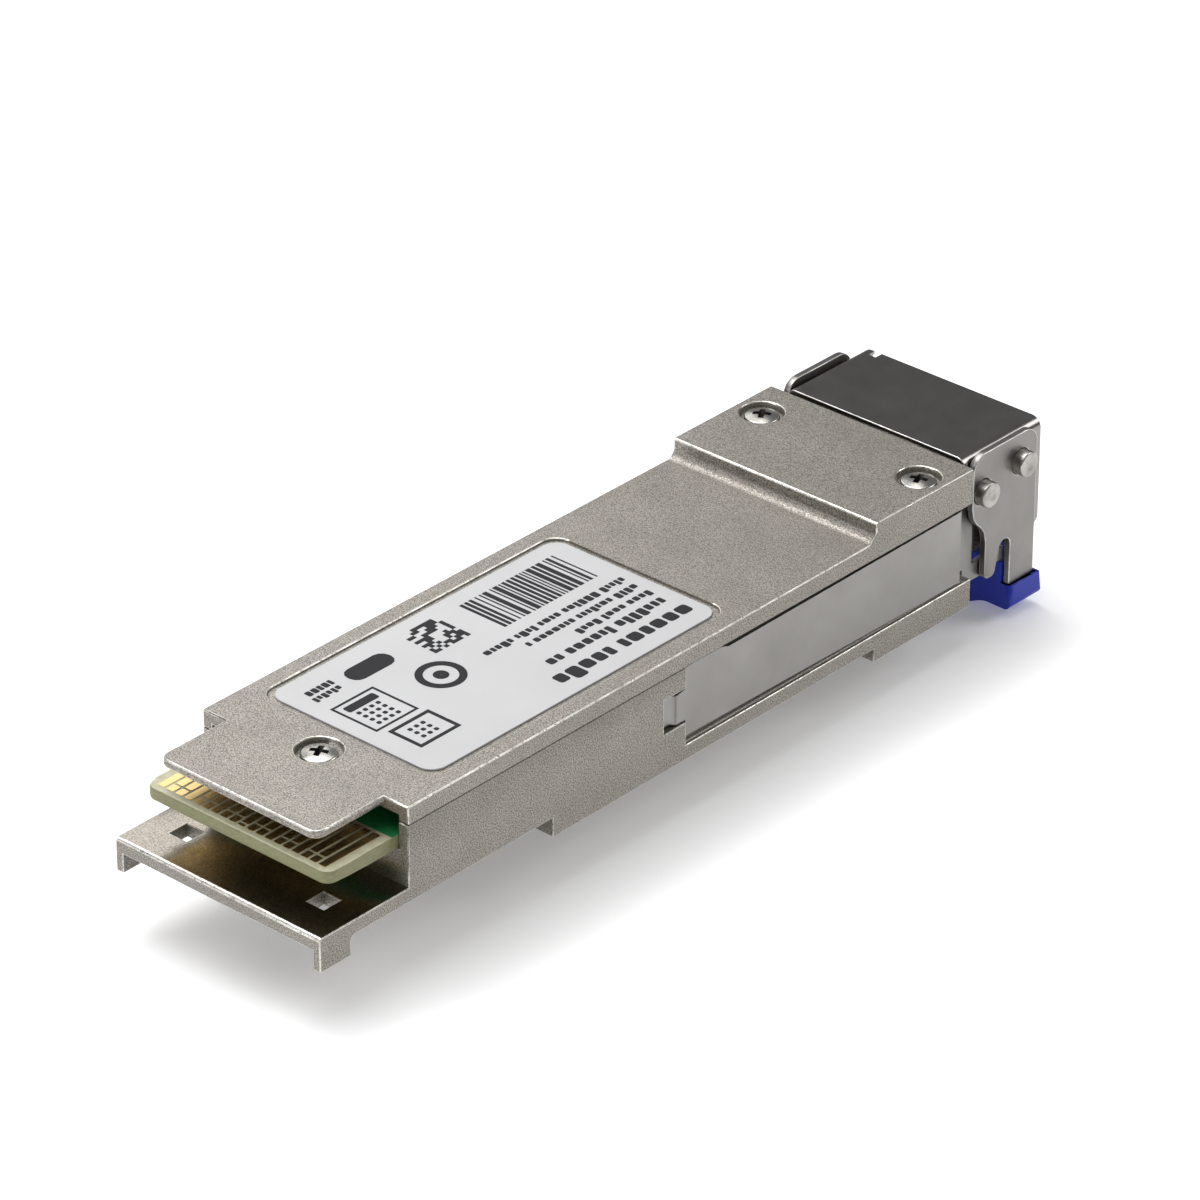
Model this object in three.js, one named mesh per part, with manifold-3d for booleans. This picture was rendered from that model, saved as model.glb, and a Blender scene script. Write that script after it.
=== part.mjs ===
// A pluggable optical transceiver module, in millimetres.
// +Y runs from the card edge to the fibre end, +Z is the label side, +X is the right side.
// The design frame has y = 0 at the front of the lower plate and z = 0 under the plugged-in body.
// The exported group moves it so that the origin is under the middle of the whole object.
import * as THREE from "three";
import { mergeVertices } from "three/addons/utils/BufferGeometryUtils.js";
import Module from "manifold-3d";

const wasm = await Module();
wasm.setup();

// Driving dimensions: the body
const bodyWidth = 18.35;
const bodyHeight = 8.5;
const bodyEndY = 65.0;
const wallStartY = 8.2;
const splitDepth = 1.4;
const splitGap = 0.05;
const footY = 21.8;
const footRise = 1.45;
const plateThickness = 1.05;
const raisedLength = 10.5;
const stepDrop = 1.0;
const stepRise = 1.4;
const coverThickness = 0.9;
const sideWall = 0.875;
const narrowWall = 1.375;
const sideNarrowY = 31.5;
const innerFloorZ = 1.2;
const deepFloorY = 23.0;

// Driving dimensions: the connector end
const legLength = 2.8;
const legThickness = 0.65;
const plateHoleSize = 1.55;
const plateHoleInset = 3.025;
const plateHoleY = 3.5;
const tongueStartY = 2.1;
const tongueInset = 2.125;
const tongueThickness = 0.6;
const tongueCornerRadius = 0.8;
const cardFrontY = 1.85;
const cardDepth = 2.4;
const cardThickness = 1.0;
const cardCornerRadius = 0.8;
const cardSetback = 18.0;
const cardClearance = 0.09;
const bulkheadThickness = 1.0;
const railWidth = 0.7;

// Driving dimensions: the side recess and the slider
const sheet = 0.35;
const recessStartY = 34.95;
const ledgeZ = 1.15;
const stripInset = 0.12;
const stripClearance = 0.07;
const pocketStartY = 32.75;
const pocketBottomZ = 2.9;
const pocketTopZ = 5.5;
const pocketClearance = 0.03;
const tipClearance = 0.1;
const sliderStroke = 1.8;
const stripFlushLength = 3.6;
const stripGapRamp = 0.8;
const stripTopRearGap = 0.02;
const stripTopWideGap = 0.2;
const stripTopFrontGap = 0.07;
const stripBottomRearZ = 1.75;
const stripBottomFrontZ = 1.25;
const jogSetback = 1.1;
const jogLength = 1.0;
const jogClearance = 0.4;
const bridgeSideLead = 0.45;
const sliderPanelReach = 1.4;
const bridgeReach = 3.4;
const sliderTongueReach = 4.9;
const sliderTongueBottomZ = 0.3;
const sliderTongueTopZ = 1.4;

// Driving dimensions: the springs and the thick side blocks that hold them
const springOuterRadius = 0.65;
const springWire = 0.24;
const springCoils = 9;
const springStripGap = 0.105;
const springZ = 4.2;
const springLength = 8.4;
const springEndSetback = 5.4;
const springBayClearance = 0.12;
const springTabThickness = 0.5;
const sideBlockLead = 2.0;
const sideBlockSetback = 1.7;
const seatWall = 0.5;

// Driving dimensions: the nose and the shield
const noseGap = 0.5;
const noseLength = 7.9;
const noseBottomZ = 1.95;
const noseTopDrop = 0.3;
const shieldInset = 1.075;
const shieldSheet = 0.3;
const shieldGap = 0.1;
const shieldRearGap = 0.35;
const shieldBottomZ = 1.6;
const shieldBendRadius = 0.8;
const shieldChamfer = 0.5;
const shieldLipHeight = 1.0;
const shieldNotchWidth = 0.6;
const shieldNotchDepth = 0.7;
const shieldSliderClearance = 0.2;

// Driving dimensions: the bail
const armThickness = 0.5;
const armGap = 0.1;
const armRearReach = 0.6;
const armFrontSetback = 1.15;
const armRise = 0.2;
const armHeadRadius = 1.3;
const armShoulderDrop = 4.1;
const armCurvePull = 1.6;
const armWaistZ = 3.0;
const pivotSetback = 1.8;
const pivotDrop = 2.25;
const studLead = 1.1;
const studDrop = 3.0;
const studRadius = 0.95;
const studProud = 0.8;
const studClearance = 0.05;
const fingerLead = 1.55;
const fingerWidth = 1.55;
const fingerTipZ = -0.05;
const fingerTipRadius = 0.45;
const fingerTipFlat = 0.27;
const slotRadius = 0.62;
const slotCentreZ = 1.75;
const legBottomZ = -3.1;
const gripSkin = 0.3;
const gripTopZ = 0.1;
const gripBottomZ = -3.55;
const gripRearWall = 0.19;
const gripFrontWall = 0.6;
const gripCorner = 0.5;
const gripDip = 0.8;
const gripDipInset = 2.0;
const gripDipRun = 2.5;
const shoeTopZ = -1.6;

// Driving dimensions: the optics
const portPitch = 6.25;
const portSize = 4.7;
const portLatchWidth = 3.2;
const portLatchHeight = 1.8;
const portLatchLead = 1.0;
const portAxisDepth = 3.6;
const portDepth = 8.9;
const barrelRadius = 1.6;
const barrelBoreRadius = 1.1;
const barrelReach = 4.0;
const ferruleStopLead = 1.0;
const sleeveWall = 0.4;
const sleeveSlot = 0.3;
const sleeveLead = 0.5;
const sleeveSetback = 0.25;
const neckWall = 0.975;
const neckGap = 0.45;
const neckRise = 3.3;
const opticsLength = 11.9;
const opticsSetback = 4.5;
const opticsHalfWidth = 2.7;
const opticsFloorGap = 1.2;
const opticsTopGap = 0.6;
const opticsSideGap = 0.175;
const clampThickness = 0.55;
const clampRise = 0.6;
const flexThickness = 0.15;
const flexWidth = 4.4;
const flexLand = 2.4;
const gasketSetback = 0.3;
const padInset = 0.2;

// Driving dimensions: screws and label
const screwHeadRadius = 1.4;
const screwHeadHeight = 0.5;
const screwShankRadius = 0.7;
const screwSeatDepth = 0.55;
const screwSeatRadius = 1.6;
const screwTipClearance = 0.2;
const nearScrewY = 9.6;
const nearScrewRise = 0.9;
const farScrewInset = 2.075;
const farScrewSetback = 3.5;
const farScrewDepth = 4.1;
const crossWidth = 0.42;
const crossSpan = 1.7;
const crossDepth = 0.3;
const labelInset = 1.775;
const labelStartY = 12.4;
const labelLength = 27.9;
const labelThickness = 0.12;
const labelCornerRadius = 1.2;
const labelRecessDepth = 0.2;
const labelMargin = 0.4;

// Heights, widths and places that follow from the driving dimensions
const halfWidth = bodyWidth / 2;
const splitZ = bodyHeight - splitDepth;
const plateTopZ = footRise + plateThickness;
const stepY = bodyEndY - raisedLength;
const raisedTopZ = bodyHeight + stepRise;
const coverUndersideZ = bodyHeight - coverThickness;
const raisedUndersideZ = raisedTopZ - coverThickness;
const nearHalfWidth = halfWidth - sideWall;
const narrowHalfWidth = halfWidth - narrowWall;
const sealY = wallStartY + bulkheadThickness;
const cardTopZ = bodyHeight - cardDepth;
const cardBottomZ = cardTopZ - cardThickness;
const cardEndY = bodyEndY - cardSetback;
const cardHalfWidth = nearHalfWidth - cardClearance;
const cardNarrowHalfWidth = narrowHalfWidth - cardClearance;
const railTopZ = cardBottomZ - splitGap;
const stripOuterX = halfWidth - stripInset;
const stripInnerX = stripOuterX - sheet;
const recessFloorX = stripInnerX - stripClearance;
const jogStartY = bodyEndY - jogSetback;
const jogEndY = jogStartY + jogLength;
const sliderPanelEndY = bodyEndY + sliderPanelReach;
const bridgeEndY = bodyEndY + bridgeReach;
const sliderTongueEndY = bodyEndY + sliderTongueReach;
const springX = stripInnerX - springStripGap - springOuterRadius;
const springEndY = bodyEndY - springEndSetback;
const springStartY = springEndY - springLength;
const sideBlockStartY = springStartY - sideBlockLead;
const sideBlockEndY = bodyEndY - sideBlockSetback;
const shieldOuterX = halfWidth - shieldInset;
const shieldInnerX = shieldOuterX - shieldSheet;
const sliderPanelInnerX = shieldOuterX - sheet;
const seatHalfWidth = sliderPanelInnerX - seatWall;
const noseHalfWidth = Math.min(shieldInnerX - shieldGap, sliderPanelInnerX - splitGap);
const noseStartY = bodyEndY + noseGap;
const noseEndY = noseStartY + noseLength;
const noseTopZ = raisedTopZ - noseTopDrop;
const shieldStartY = bodyEndY + shieldRearGap;
const shieldEndY = noseEndY + shieldGap + shieldSheet;
const shieldTopZ = noseTopZ + shieldGap + shieldSheet;
const shieldCutEndY = sliderPanelEndY + sliderStroke + shieldSliderClearance;
const armInnerX = shieldOuterX + armGap;
const armOuterX = armInnerX + armThickness;
const armRearY = bodyEndY + armRearReach;
const armFrontY = shieldEndY - armFrontSetback;
const armTopZ = shieldTopZ + armRise;
const pivotY = armFrontY - pivotSetback;
const pivotZ = armTopZ - pivotDrop;
const studY = armRearY + studLead;
const studZ = armTopZ - studDrop;
const fingerRearY = armRearY + fingerLead;
const fingerFrontY = fingerRearY + fingerWidth;
const legRearY = fingerFrontY + 2 * slotRadius;
const portX = portPitch / 2;
const portAxisZ = bodyHeight - portAxisDepth;
const opticsEndY = bodyEndY - opticsSetback;
const opticsStartY = opticsEndY - opticsLength;
const opticsBottomZ = innerFloorZ + opticsFloorGap;
const opticsTopZ = coverUndersideZ - opticsTopGap;
const sideBlockInnerX = portX + opticsHalfWidth + opticsSideGap;
const barrelTipY = bodyEndY + barrelReach;
const clampStartY = opticsEndY + 2 * splitGap;
const neckStartY = clampStartY + clampThickness + neckGap;
const neckHalfWidth = portX + barrelRadius + neckWall;
const neckTopZ = portAxisZ + neckRise;
const farScrewX = halfWidth - farScrewInset;
const farScrewY = bodyEndY - farScrewSetback;
const labelHalfWidth = halfWidth - labelInset;
const labelEndY = labelStartY + labelLength;
const lowestZ = gripBottomZ - gripDip;

// Cuts run this far past the faces that they open, and joined shapes this far into each other.
const overcut = 1;
const weld = 0.25;
const arcSteps = 5;
const roundSteps = 24;

const castZinc = new THREE.MeshStandardMaterial({ color: 0xb5b0a8, roughness: 0.5, metalness: 0.9 });
const sheetSteel = new THREE.MeshStandardMaterial({ color: 0xb9b7b2, roughness: 0.32, metalness: 1 });
const polishedSteel = new THREE.MeshStandardMaterial({ color: 0x8f8c88, roughness: 0.2, metalness: 1 });
const screwSteel = new THREE.MeshStandardMaterial({ color: 0xcfccc6, roughness: 0.22, metalness: 1 });
const springSteel = new THREE.MeshStandardMaterial({ color: 0xa9a8a5, roughness: 0.3, metalness: 1 });
const bluePlastic = new THREE.MeshStandardMaterial({ color: 0x2333a0, roughness: 0.42, metalness: 0 });
const labelPaper = new THREE.MeshStandardMaterial({ color: 0xe9e9ea, roughness: 0.45, metalness: 0 });
const boardMask = new THREE.MeshStandardMaterial({ color: 0x1d7a45, roughness: 0.4, metalness: 0 });
const flexFilm = new THREE.MeshStandardMaterial({ color: 0xb5751f, roughness: 0.5, metalness: 0 });
const chipPlastic = new THREE.MeshStandardMaterial({ color: 0x1b1b1d, roughness: 0.55, metalness: 0 });
const opticsMetal = new THREE.MeshStandardMaterial({ color: 0xc9ab62, roughness: 0.35, metalness: 1 });
const zirconia = new THREE.MeshStandardMaterial({ color: 0xf2efe6, roughness: 0.25, metalness: 0 });
const gapPad = new THREE.MeshStandardMaterial({ color: 0x8ba0b4, roughness: 0.9, metalness: 0 });
const gasketRubber = new THREE.MeshStandardMaterial({ color: 0x4a4a4c, roughness: 0.85, metalness: 0 });

// Turns a closed three.js geometry into a solid that can be joined and cut.
function solid(geometry) {
  const bare = geometry.index ? geometry.toNonIndexed() : geometry.clone();
  bare.deleteAttribute("normal");
  bare.deleteAttribute("uv");
  const merged = mergeVertices(bare, 1e-4);
  const triVerts = new Uint32Array(merged.index.array);
  return new wasm.Manifold(
    new wasm.Mesh({ numProp: 3, vertProperties: merged.attributes.position.array, triVerts }),
  );
}

// Turns a solid back into a geometry.
function geometryOf(body) {
  const mesh = body.getMesh();
  const positions = new Float32Array(mesh.numVert * 3);
  for (let i = 0; i < mesh.numVert; i++) {
    const start = i * mesh.numProp;
    positions.set(mesh.vertProperties.subarray(start, start + 3), i * 3);
  }
  const geometry = new THREE.BufferGeometry();
  geometry.setAttribute("position", new THREE.BufferAttribute(positions, 3));
  geometry.setIndex(new THREE.BufferAttribute(new Uint32Array(mesh.triVerts), 1));
  geometry.computeVertexNormals();
  return geometry;
}

// A box between two values on each axis.
function block([x0, x1], [y0, y1], [z0, z1]) {
  const geometry = new THREE.BoxGeometry(x1 - x0, y1 - y0, z1 - z0);
  geometry.translate((x0 + x1) / 2, (y0 + y1) / 2, (z0 + z1) / 2);
  return solid(geometry);
}

// The same box on both sides of the module.
function blockPair([x0, x1], y, z) {
  return block([x0, x1], y, z).add(block([-x1, -x0], y, z));
}

// A shape drawn in (x, y) and raised along z.
function raised(shape, [z0, z1]) {
  const options = { depth: z1 - z0, bevelEnabled: false, curveSegments: arcSteps };
  const geometry = new THREE.ExtrudeGeometry(shape, options);
  geometry.translate(0, 0, z0);
  return solid(geometry);
}

// A shape drawn in (y, z) and carried along x.
function carried(shape, [x0, x1]) {
  const options = { depth: x1 - x0, bevelEnabled: false, curveSegments: arcSteps };
  const geometry = new THREE.ExtrudeGeometry(shape, options);
  const turn = new THREE.Matrix4().makeBasis(
    new THREE.Vector3(0, 1, 0),
    new THREE.Vector3(0, 0, 1),
    new THREE.Vector3(1, 0, 0),
  );
  geometry.applyMatrix4(turn);
  geometry.translate(x0, 0, 0);
  return solid(geometry);
}

// A shape drawn in (x, z) and drawn out along y.
function drawn(shape, [y0, y1]) {
  const options = { depth: y1 - y0, bevelEnabled: false, curveSegments: arcSteps };
  const geometry = new THREE.ExtrudeGeometry(shape, options);
  const turn = new THREE.Matrix4().makeBasis(
    new THREE.Vector3(1, 0, 0),
    new THREE.Vector3(0, 0, 1),
    new THREE.Vector3(0, -1, 0),
  );
  geometry.applyMatrix4(turn);
  geometry.translate(0, y1, 0);
  return solid(geometry);
}

// A polygon from [u, v] corners.
function polygon(corners) {
  return new THREE.Shape(corners.map(([u, v]) => new THREE.Vector2(u, v)));
}

// A rectangle with rounded corners; radii go bottom left, bottom right, top right, top left.
function roundedRectangle([u0, u1], [v0, v1], [bl, br, tr, tl]) {
  const shape = new THREE.Shape();
  shape.moveTo(u0 + bl, v0);
  shape.lineTo(u1 - br, v0);
  if (br > 0) shape.absarc(u1 - br, v0 + br, br, -Math.PI / 2, 0);
  shape.lineTo(u1, v1 - tr);
  if (tr > 0) shape.absarc(u1 - tr, v1 - tr, tr, 0, Math.PI / 2);
  shape.lineTo(u0 + tl, v1);
  if (tl > 0) shape.absarc(u0 + tl, v1 - tl, tl, Math.PI / 2, Math.PI);
  shape.lineTo(u0, v0 + bl);
  if (bl > 0) shape.absarc(u0 + bl, v0 + bl, bl, Math.PI, Math.PI * 1.5);
  return shape;
}

// A cylinder between two values along one axis, "x", "y" or "z", at a point in the other two.
function rod(axis, radius, [from, to], [a, b], steps = roundSteps) {
  const geometry = new THREE.CylinderGeometry(radius, radius, to - from, steps);
  geometry.translate(0, (from + to) / 2, 0);
  if (axis === "x") {
    geometry.rotateZ(-Math.PI / 2);
    geometry.translate(0, a, b);
  }
  if (axis === "y") geometry.translate(a, 0, b);
  if (axis === "z") {
    geometry.rotateX(Math.PI / 2);
    geometry.translate(a, b, 0);
  }
  return solid(geometry);
}

function part(name, body, material) {
  const mesh = new THREE.Mesh(geometryOf(body), material);
  mesh.name = name;
  return mesh;
}

function screwPlaces() {
  const near = { y: nearScrewY, topZ: bodyHeight, tipZ: plateTopZ + nearScrewRise };
  const far = { y: farScrewY, topZ: raisedTopZ, tipZ: splitZ - farScrewDepth };
  return [
    { name: "cover_screw_near", x: 0, ...near },
    { name: "cover_screw_far_left", x: -farScrewX, ...far },
    { name: "cover_screw_far_right", x: farScrewX, ...far },
  ];
}

// The slider seen from above on the right side: strip, inward jog, inner panel and curled rear tip.
function sliderPlan() {
  const tipX = stripInnerX - sheet;
  const tipStartY = recessStartY - jogLength / 2;
  return polygon([
    [stripInnerX, tipStartY],
    [stripInnerX, jogStartY],
    [sliderPanelInnerX, jogEndY],
    [sliderPanelInnerX, sliderTongueEndY],
    [shieldOuterX, sliderTongueEndY],
    [shieldOuterX, jogEndY],
    [stripOuterX, jogStartY],
    [stripOuterX, tipStartY - sheet],
    [stripOuterX - sheet, tipStartY - sheet * 2],
    [stripOuterX - sheet, pocketStartY + sheet],
    [tipX, pocketStartY + sheet],
    [tipX, tipStartY - sheet],
  ]);
}

// The slider seen from the side: it limits the height of each part of the folded sheet.
function sliderSide() {
  const bridgeSideY = jogEndY + bridgeSideLead;
  const stripStartY = recessStartY + splitGap;
  const flushEndY = stripStartY + stripFlushLength;
  const tip = [pocketBottomZ + tipClearance, pocketTopZ - tipClearance];
  return polygon([
    [pocketStartY, tip[0]],
    [stripStartY, tip[0]],
    [stripStartY, stripBottomRearZ],
    [bridgeSideY, stripBottomFrontZ],
    [bridgeSideY, 0],
    [bridgeEndY, 0],
    [bridgeEndY, sliderTongueBottomZ],
    [sliderTongueEndY, sliderTongueBottomZ],
    [sliderTongueEndY, sliderTongueTopZ],
    [sliderPanelEndY, sliderTongueTopZ],
    [sliderPanelEndY, splitZ - stripTopFrontGap],
    [flushEndY + stripGapRamp, splitZ - stripTopWideGap],
    [flushEndY, splitZ - stripTopRearGap],
    [stripStartY, splitZ - stripTopRearGap],
    [stripStartY, tip[1]],
    [pocketStartY, tip[1]],
  ]);
}

function makeSlider() {
  const limits = carried(sliderSide(), [0, halfWidth]);
  const plan = raised(sliderPlan(), [-overcut, bodyHeight]);
  const springTab = block(
    [springX - springOuterRadius, stripOuterX - sheet / 2],
    [springStartY - springTabThickness - splitGap, springStartY - splitGap],
    [springZ - springOuterRadius, springZ + springOuterRadius],
  );
  const right = plan.intersect(limits).add(springTab);
  const bridge = block([-shieldOuterX, shieldOuterX], [sliderPanelEndY, bridgeEndY], [0, sheet]);
  return part("latch_slider", right.add(right.mirror([1, 0, 0])).add(bridge), sheetSteel);
}

// The room in each side wall for the slider, its curled tip and the spring, with the stroke added.
function sideRecess() {
  const pocketFloorX = stripInnerX - sheet - pocketClearance;
  const outside = halfWidth + overcut;
  const openTop = [ledgeZ, splitZ + overcut];
  const strip = block([recessFloorX, outside], [recessStartY, bodyEndY + overcut], openTop);
  const tipChannel = block(
    [pocketFloorX, outside],
    [pocketStartY, recessStartY + sliderStroke],
    [pocketBottomZ, pocketTopZ],
  );
  const jogRoom = block(
    [sliderPanelInnerX - stripClearance, outside],
    [jogStartY - jogClearance, bodyEndY + overcut],
    openTop,
  );
  const bay = springOuterRadius + springBayClearance;
  const springBay = block(
    [springX - bay, outside],
    [springStartY - springTabThickness - 2 * springBayClearance, springEndY + splitGap],
    [springZ - bay, springZ + bay],
  );
  return strip.add(tipChannel).add(jogRoom).add(springBay);
}

function baseProfile() {
  return polygon([
    [0, footRise],
    [footY, footRise],
    [footY, 0],
    [stepY, 0],
    [stepY, -stepDrop],
    [bodyEndY, -stepDrop],
    [bodyEndY, splitZ],
    [wallStartY, splitZ],
    [wallStartY, plateTopZ],
    [0, plateTopZ],
  ]);
}

// The space inside the lower shell, narrower where the side walls hold the slider.
function baseCavity() {
  const toTop = (z) => [z, splitZ + overcut];
  const across = (x) => [-x, x];
  const rooms = [
    [across(nearHalfWidth), [wallStartY - overcut, sealY + overcut], toTop(railTopZ)],
    [across(nearHalfWidth), [sealY, sideNarrowY], toTop(plateTopZ)],
    [across(nearHalfWidth), [deepFloorY, sideNarrowY], toTop(innerFloorZ)],
    [across(narrowHalfWidth), [sideNarrowY - overcut, sideBlockStartY], toTop(innerFloorZ)],
    [across(sideBlockInnerX), [sideBlockStartY - overcut, bodyEndY + overcut], toTop(innerFloorZ)],
    [across(seatHalfWidth), [sideBlockEndY, bodyEndY + overcut], toTop(innerFloorZ)],
  ];
  return rooms.map(([x, y, z]) => block(x, y, z)).reduce((all, room) => all.add(room));
}

// Ledges along both side walls that the board rests on.
function cardRails() {
  const near = blockPair(
    [nearHalfWidth - railWidth, nearHalfWidth + weld],
    [sealY - weld, sideNarrowY],
    [plateTopZ - weld, railTopZ],
  );
  const far = blockPair(
    [narrowHalfWidth - railWidth, narrowHalfWidth + weld],
    [sideNarrowY - overcut, cardEndY],
    [innerFloorZ - weld, railTopZ],
  );
  return near.add(far);
}

function makeBase() {
  const legs = blockPair([halfWidth - legThickness, halfWidth], [0, legLength], [0, footRise + weld]);
  const holeHalf = plateHoleSize / 2;
  const plateHoleX = halfWidth - plateHoleInset;
  const plateHoles = blockPair(
    [plateHoleX - holeHalf, plateHoleX + holeHalf],
    [plateHoleY - holeHalf, plateHoleY + holeHalf],
    [0, plateTopZ + overcut],
  );
  const screwBoss = rod("z", screwSeatRadius, [plateTopZ - weld, railTopZ], [0, nearScrewY]);
  let base = carried(baseProfile(), [-halfWidth, halfWidth])
    .add(legs)
    .subtract(baseCavity())
    .add(cardRails())
    .add(screwBoss)
    .subtract(plateHoles);
  const recess = sideRecess();
  base = base.subtract(recess).subtract(recess.mirror([1, 0, 0]));
  for (const { x, y, tipZ } of screwPlaces()) {
    const z = [tipZ - screwTipClearance, splitZ + overcut];
    base = base.subtract(rod("z", screwShankRadius + splitGap, z, [x, y]));
  }
  return part("base_housing", base, castZinc);
}

function coverProfile() {
  return polygon([
    [wallStartY, coverUndersideZ],
    [stepY + coverThickness, coverUndersideZ],
    [stepY + coverThickness, raisedUndersideZ],
    [bodyEndY, raisedUndersideZ],
    [bodyEndY, raisedTopZ],
    [stepY, raisedTopZ],
    [stepY, bodyHeight],
    [wallStartY, bodyHeight],
  ]);
}

function makeCover() {
  const top = carried(coverProfile(), [-halfWidth, halfWidth]);
  const skirtBottomZ = splitZ + splitGap;
  const wallX = [halfWidth - sideWall, halfWidth];
  const skirt = blockPair(wallX, [wallStartY, bodyEndY], [skirtBottomZ, coverUndersideZ + weld]);
  const raisedSkirt = blockPair(wallX, [stepY, bodyEndY], [coverUndersideZ, raisedUndersideZ + weld]);
  const tongueHalfWidth = halfWidth - tongueInset;
  const corner = tongueCornerRadius;
  const tongueShape = roundedRectangle(
    [-tongueHalfWidth, tongueHalfWidth],
    [tongueStartY, nearScrewY],
    [corner, corner, 0, 0],
  );
  const tongue = raised(tongueShape, [bodyHeight - tongueThickness, bodyHeight]);
  const bossRadius = screwSeatRadius + screwSeatDepth / 2;
  const nearBoss = rod("z", bossRadius, [cardTopZ + splitGap, coverUndersideZ + weld], [0, nearScrewY]);
  const farBoss = blockPair(
    [sideBlockInnerX, halfWidth - sideWall + weld],
    [farScrewY - bossRadius, sideBlockEndY],
    [skirtBottomZ, raisedUndersideZ + weld],
  );
  const recessShape = roundedRectangle(
    [-labelHalfWidth - labelMargin, labelHalfWidth + labelMargin],
    [labelStartY - labelMargin, labelEndY + labelMargin],
    Array(4).fill(labelCornerRadius + labelMargin / 2),
  );
  const recess = raised(recessShape, [bodyHeight - labelRecessDepth, bodyHeight + overcut]);
  let cover = top.add(skirt).add(raisedSkirt).add(tongue).add(nearBoss).add(farBoss).subtract(recess);
  for (const { x, y, topZ } of screwPlaces()) {
    cover = cover
      .subtract(rod("z", screwSeatRadius, [topZ - screwSeatDepth, topZ + overcut], [x, y]))
      .subtract(rod("z", screwShankRadius + splitGap, [cardBottomZ, topZ], [x, y]));
  }
  return part("top_cover", cover, castZinc);
}

// A pan-head screw with a cross recess.
function makeScrew({ name, x, y, topZ, tipZ }) {
  const seatZ = topZ - screwSeatDepth;
  const headTopZ = seatZ + screwHeadHeight;
  const head = rod("z", screwHeadRadius, [seatZ + splitGap / 2, headTopZ], [x, y]);
  const shank = rod("z", screwShankRadius, [tipZ, seatZ + screwHeadHeight / 2], [x, y], roundSteps / 2);
  const slot = (w, h) =>
    block([x - w / 2, x + w / 2], [y - h / 2, y + h / 2], [headTopZ - crossDepth, headTopZ + overcut]);
  const cross = slot(crossWidth, crossSpan).add(slot(crossSpan, crossWidth));
  return part(name, head.add(shank).subtract(cross), screwSteel);
}

function makeLabel() {
  const shape = roundedRectangle(
    [-labelHalfWidth, labelHalfWidth],
    [labelStartY, labelEndY],
    Array(4).fill(labelCornerRadius),
  );
  const bottomZ = bodyHeight - labelRecessDepth + splitGap / 2;
  return part("product_label", raised(shape, [bottomZ, bottomZ + labelThickness]), labelPaper);
}

// The board: a wide paddle at the card edge, narrower between the walls that hold the slider.
function makeBoard() {
  const corner = cardCornerRadius;
  const paddle = roundedRectangle(
    [-cardHalfWidth, cardHalfWidth],
    [cardFrontY, sideNarrowY - cardClearance],
    [corner, corner, 0, 0],
  );
  const z = [cardBottomZ, cardTopZ];
  const inner = block([-cardNarrowHalfWidth, cardNarrowHalfWidth], [sideNarrowY - overcut, cardEndY], z);
  const holeRadius = screwShankRadius + 3 * cardClearance;
  const screwHole = rod("z", holeRadius, [cardBottomZ - overcut, cardTopZ + overcut], [0, nearScrewY]);
  return part("main_board", raised(paddle, z).add(inner).subtract(screwHole), boardMask);
}

// The packages soldered on the board: x, distance from the board's inner end, and size.
function boardPackages() {
  return [
    { name: "laser_driver_chip", x: 3.4, setback: 5.5, size: [5, 5, 0.9] },
    { name: "receiver_chip", x: -3.4, setback: 5.5, size: [4, 4, 0.9] },
    { name: "microcontroller_chip", x: -2.6, setback: 17, size: [6, 6, 0.85] },
    { name: "power_chip", x: 4.2, setback: 20, size: [3, 3, 0.8] },
    { name: "power_inductor", x: 4.2, setback: 16, size: [2.5, 2, 1.1] },
    { name: "bulk_capacitor_left", x: -5.2, setback: 25.5, size: [1.6, 3.2, 1.2] },
    { name: "bulk_capacitor_right", x: 5.2, setback: 25.5, size: [1.6, 3.2, 1.2] },
    { name: "clock_crystal", x: 1.6, setback: 11.6, size: [2.5, 2, 0.7] },
  ];
}

function makeBoardPackage({ name, x, setback, size: [width, length, height] }) {
  const y = cardEndY - setback;
  const z = cardTopZ + splitGap / 2;
  const body = block([x - width / 2, x + width / 2], [y - length / 2, y + length / 2], [z, z + height]);
  return part(name, body, chipPlastic);
}

// A soft pad between the laser driver and the cover.
function makeDriverPad() {
  const driver = boardPackages().find(({ name }) => name === "laser_driver_chip");
  const [width, length, height] = driver.size;
  const y = cardEndY - driver.setback;
  const pad = block(
    [driver.x - width / 2 + padInset, driver.x + width / 2 - padInset],
    [y - length / 2 + padInset, y + length / 2 - padInset],
    [cardTopZ + height + 2 * splitGap, coverUndersideZ - splitGap],
  );
  return part("driver_thermal_pad", pad, gapPad);
}

// A soft pad between the transmitter's optics and the cover.
function makeTransmitterPad() {
  const pad = block(
    [portX - opticsHalfWidth, portX + opticsHalfWidth],
    [opticsStartY + padInset, stepY],
    [opticsTopZ + splitGap, coverUndersideZ - splitGap],
  );
  return part("transmitter_thermal_pad", pad, gapPad);
}

// An optical subassembly: a sealed box with the barrel that takes the fibre ferrule.
function makeOptics(name, x) {
  const box = block(
    [x - opticsHalfWidth, x + opticsHalfWidth],
    [opticsStartY, opticsEndY],
    [opticsBottomZ, opticsTopZ],
  );
  const at = [x, portAxisZ];
  const barrel = rod("y", barrelRadius, [opticsEndY - weld, barrelTipY], at);
  const bore = rod("y", barrelBoreRadius, [noseStartY - ferruleStopLead, barrelTipY + overcut], at);
  return part(name, box.add(barrel).subtract(bore), opticsMetal);
}

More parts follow.
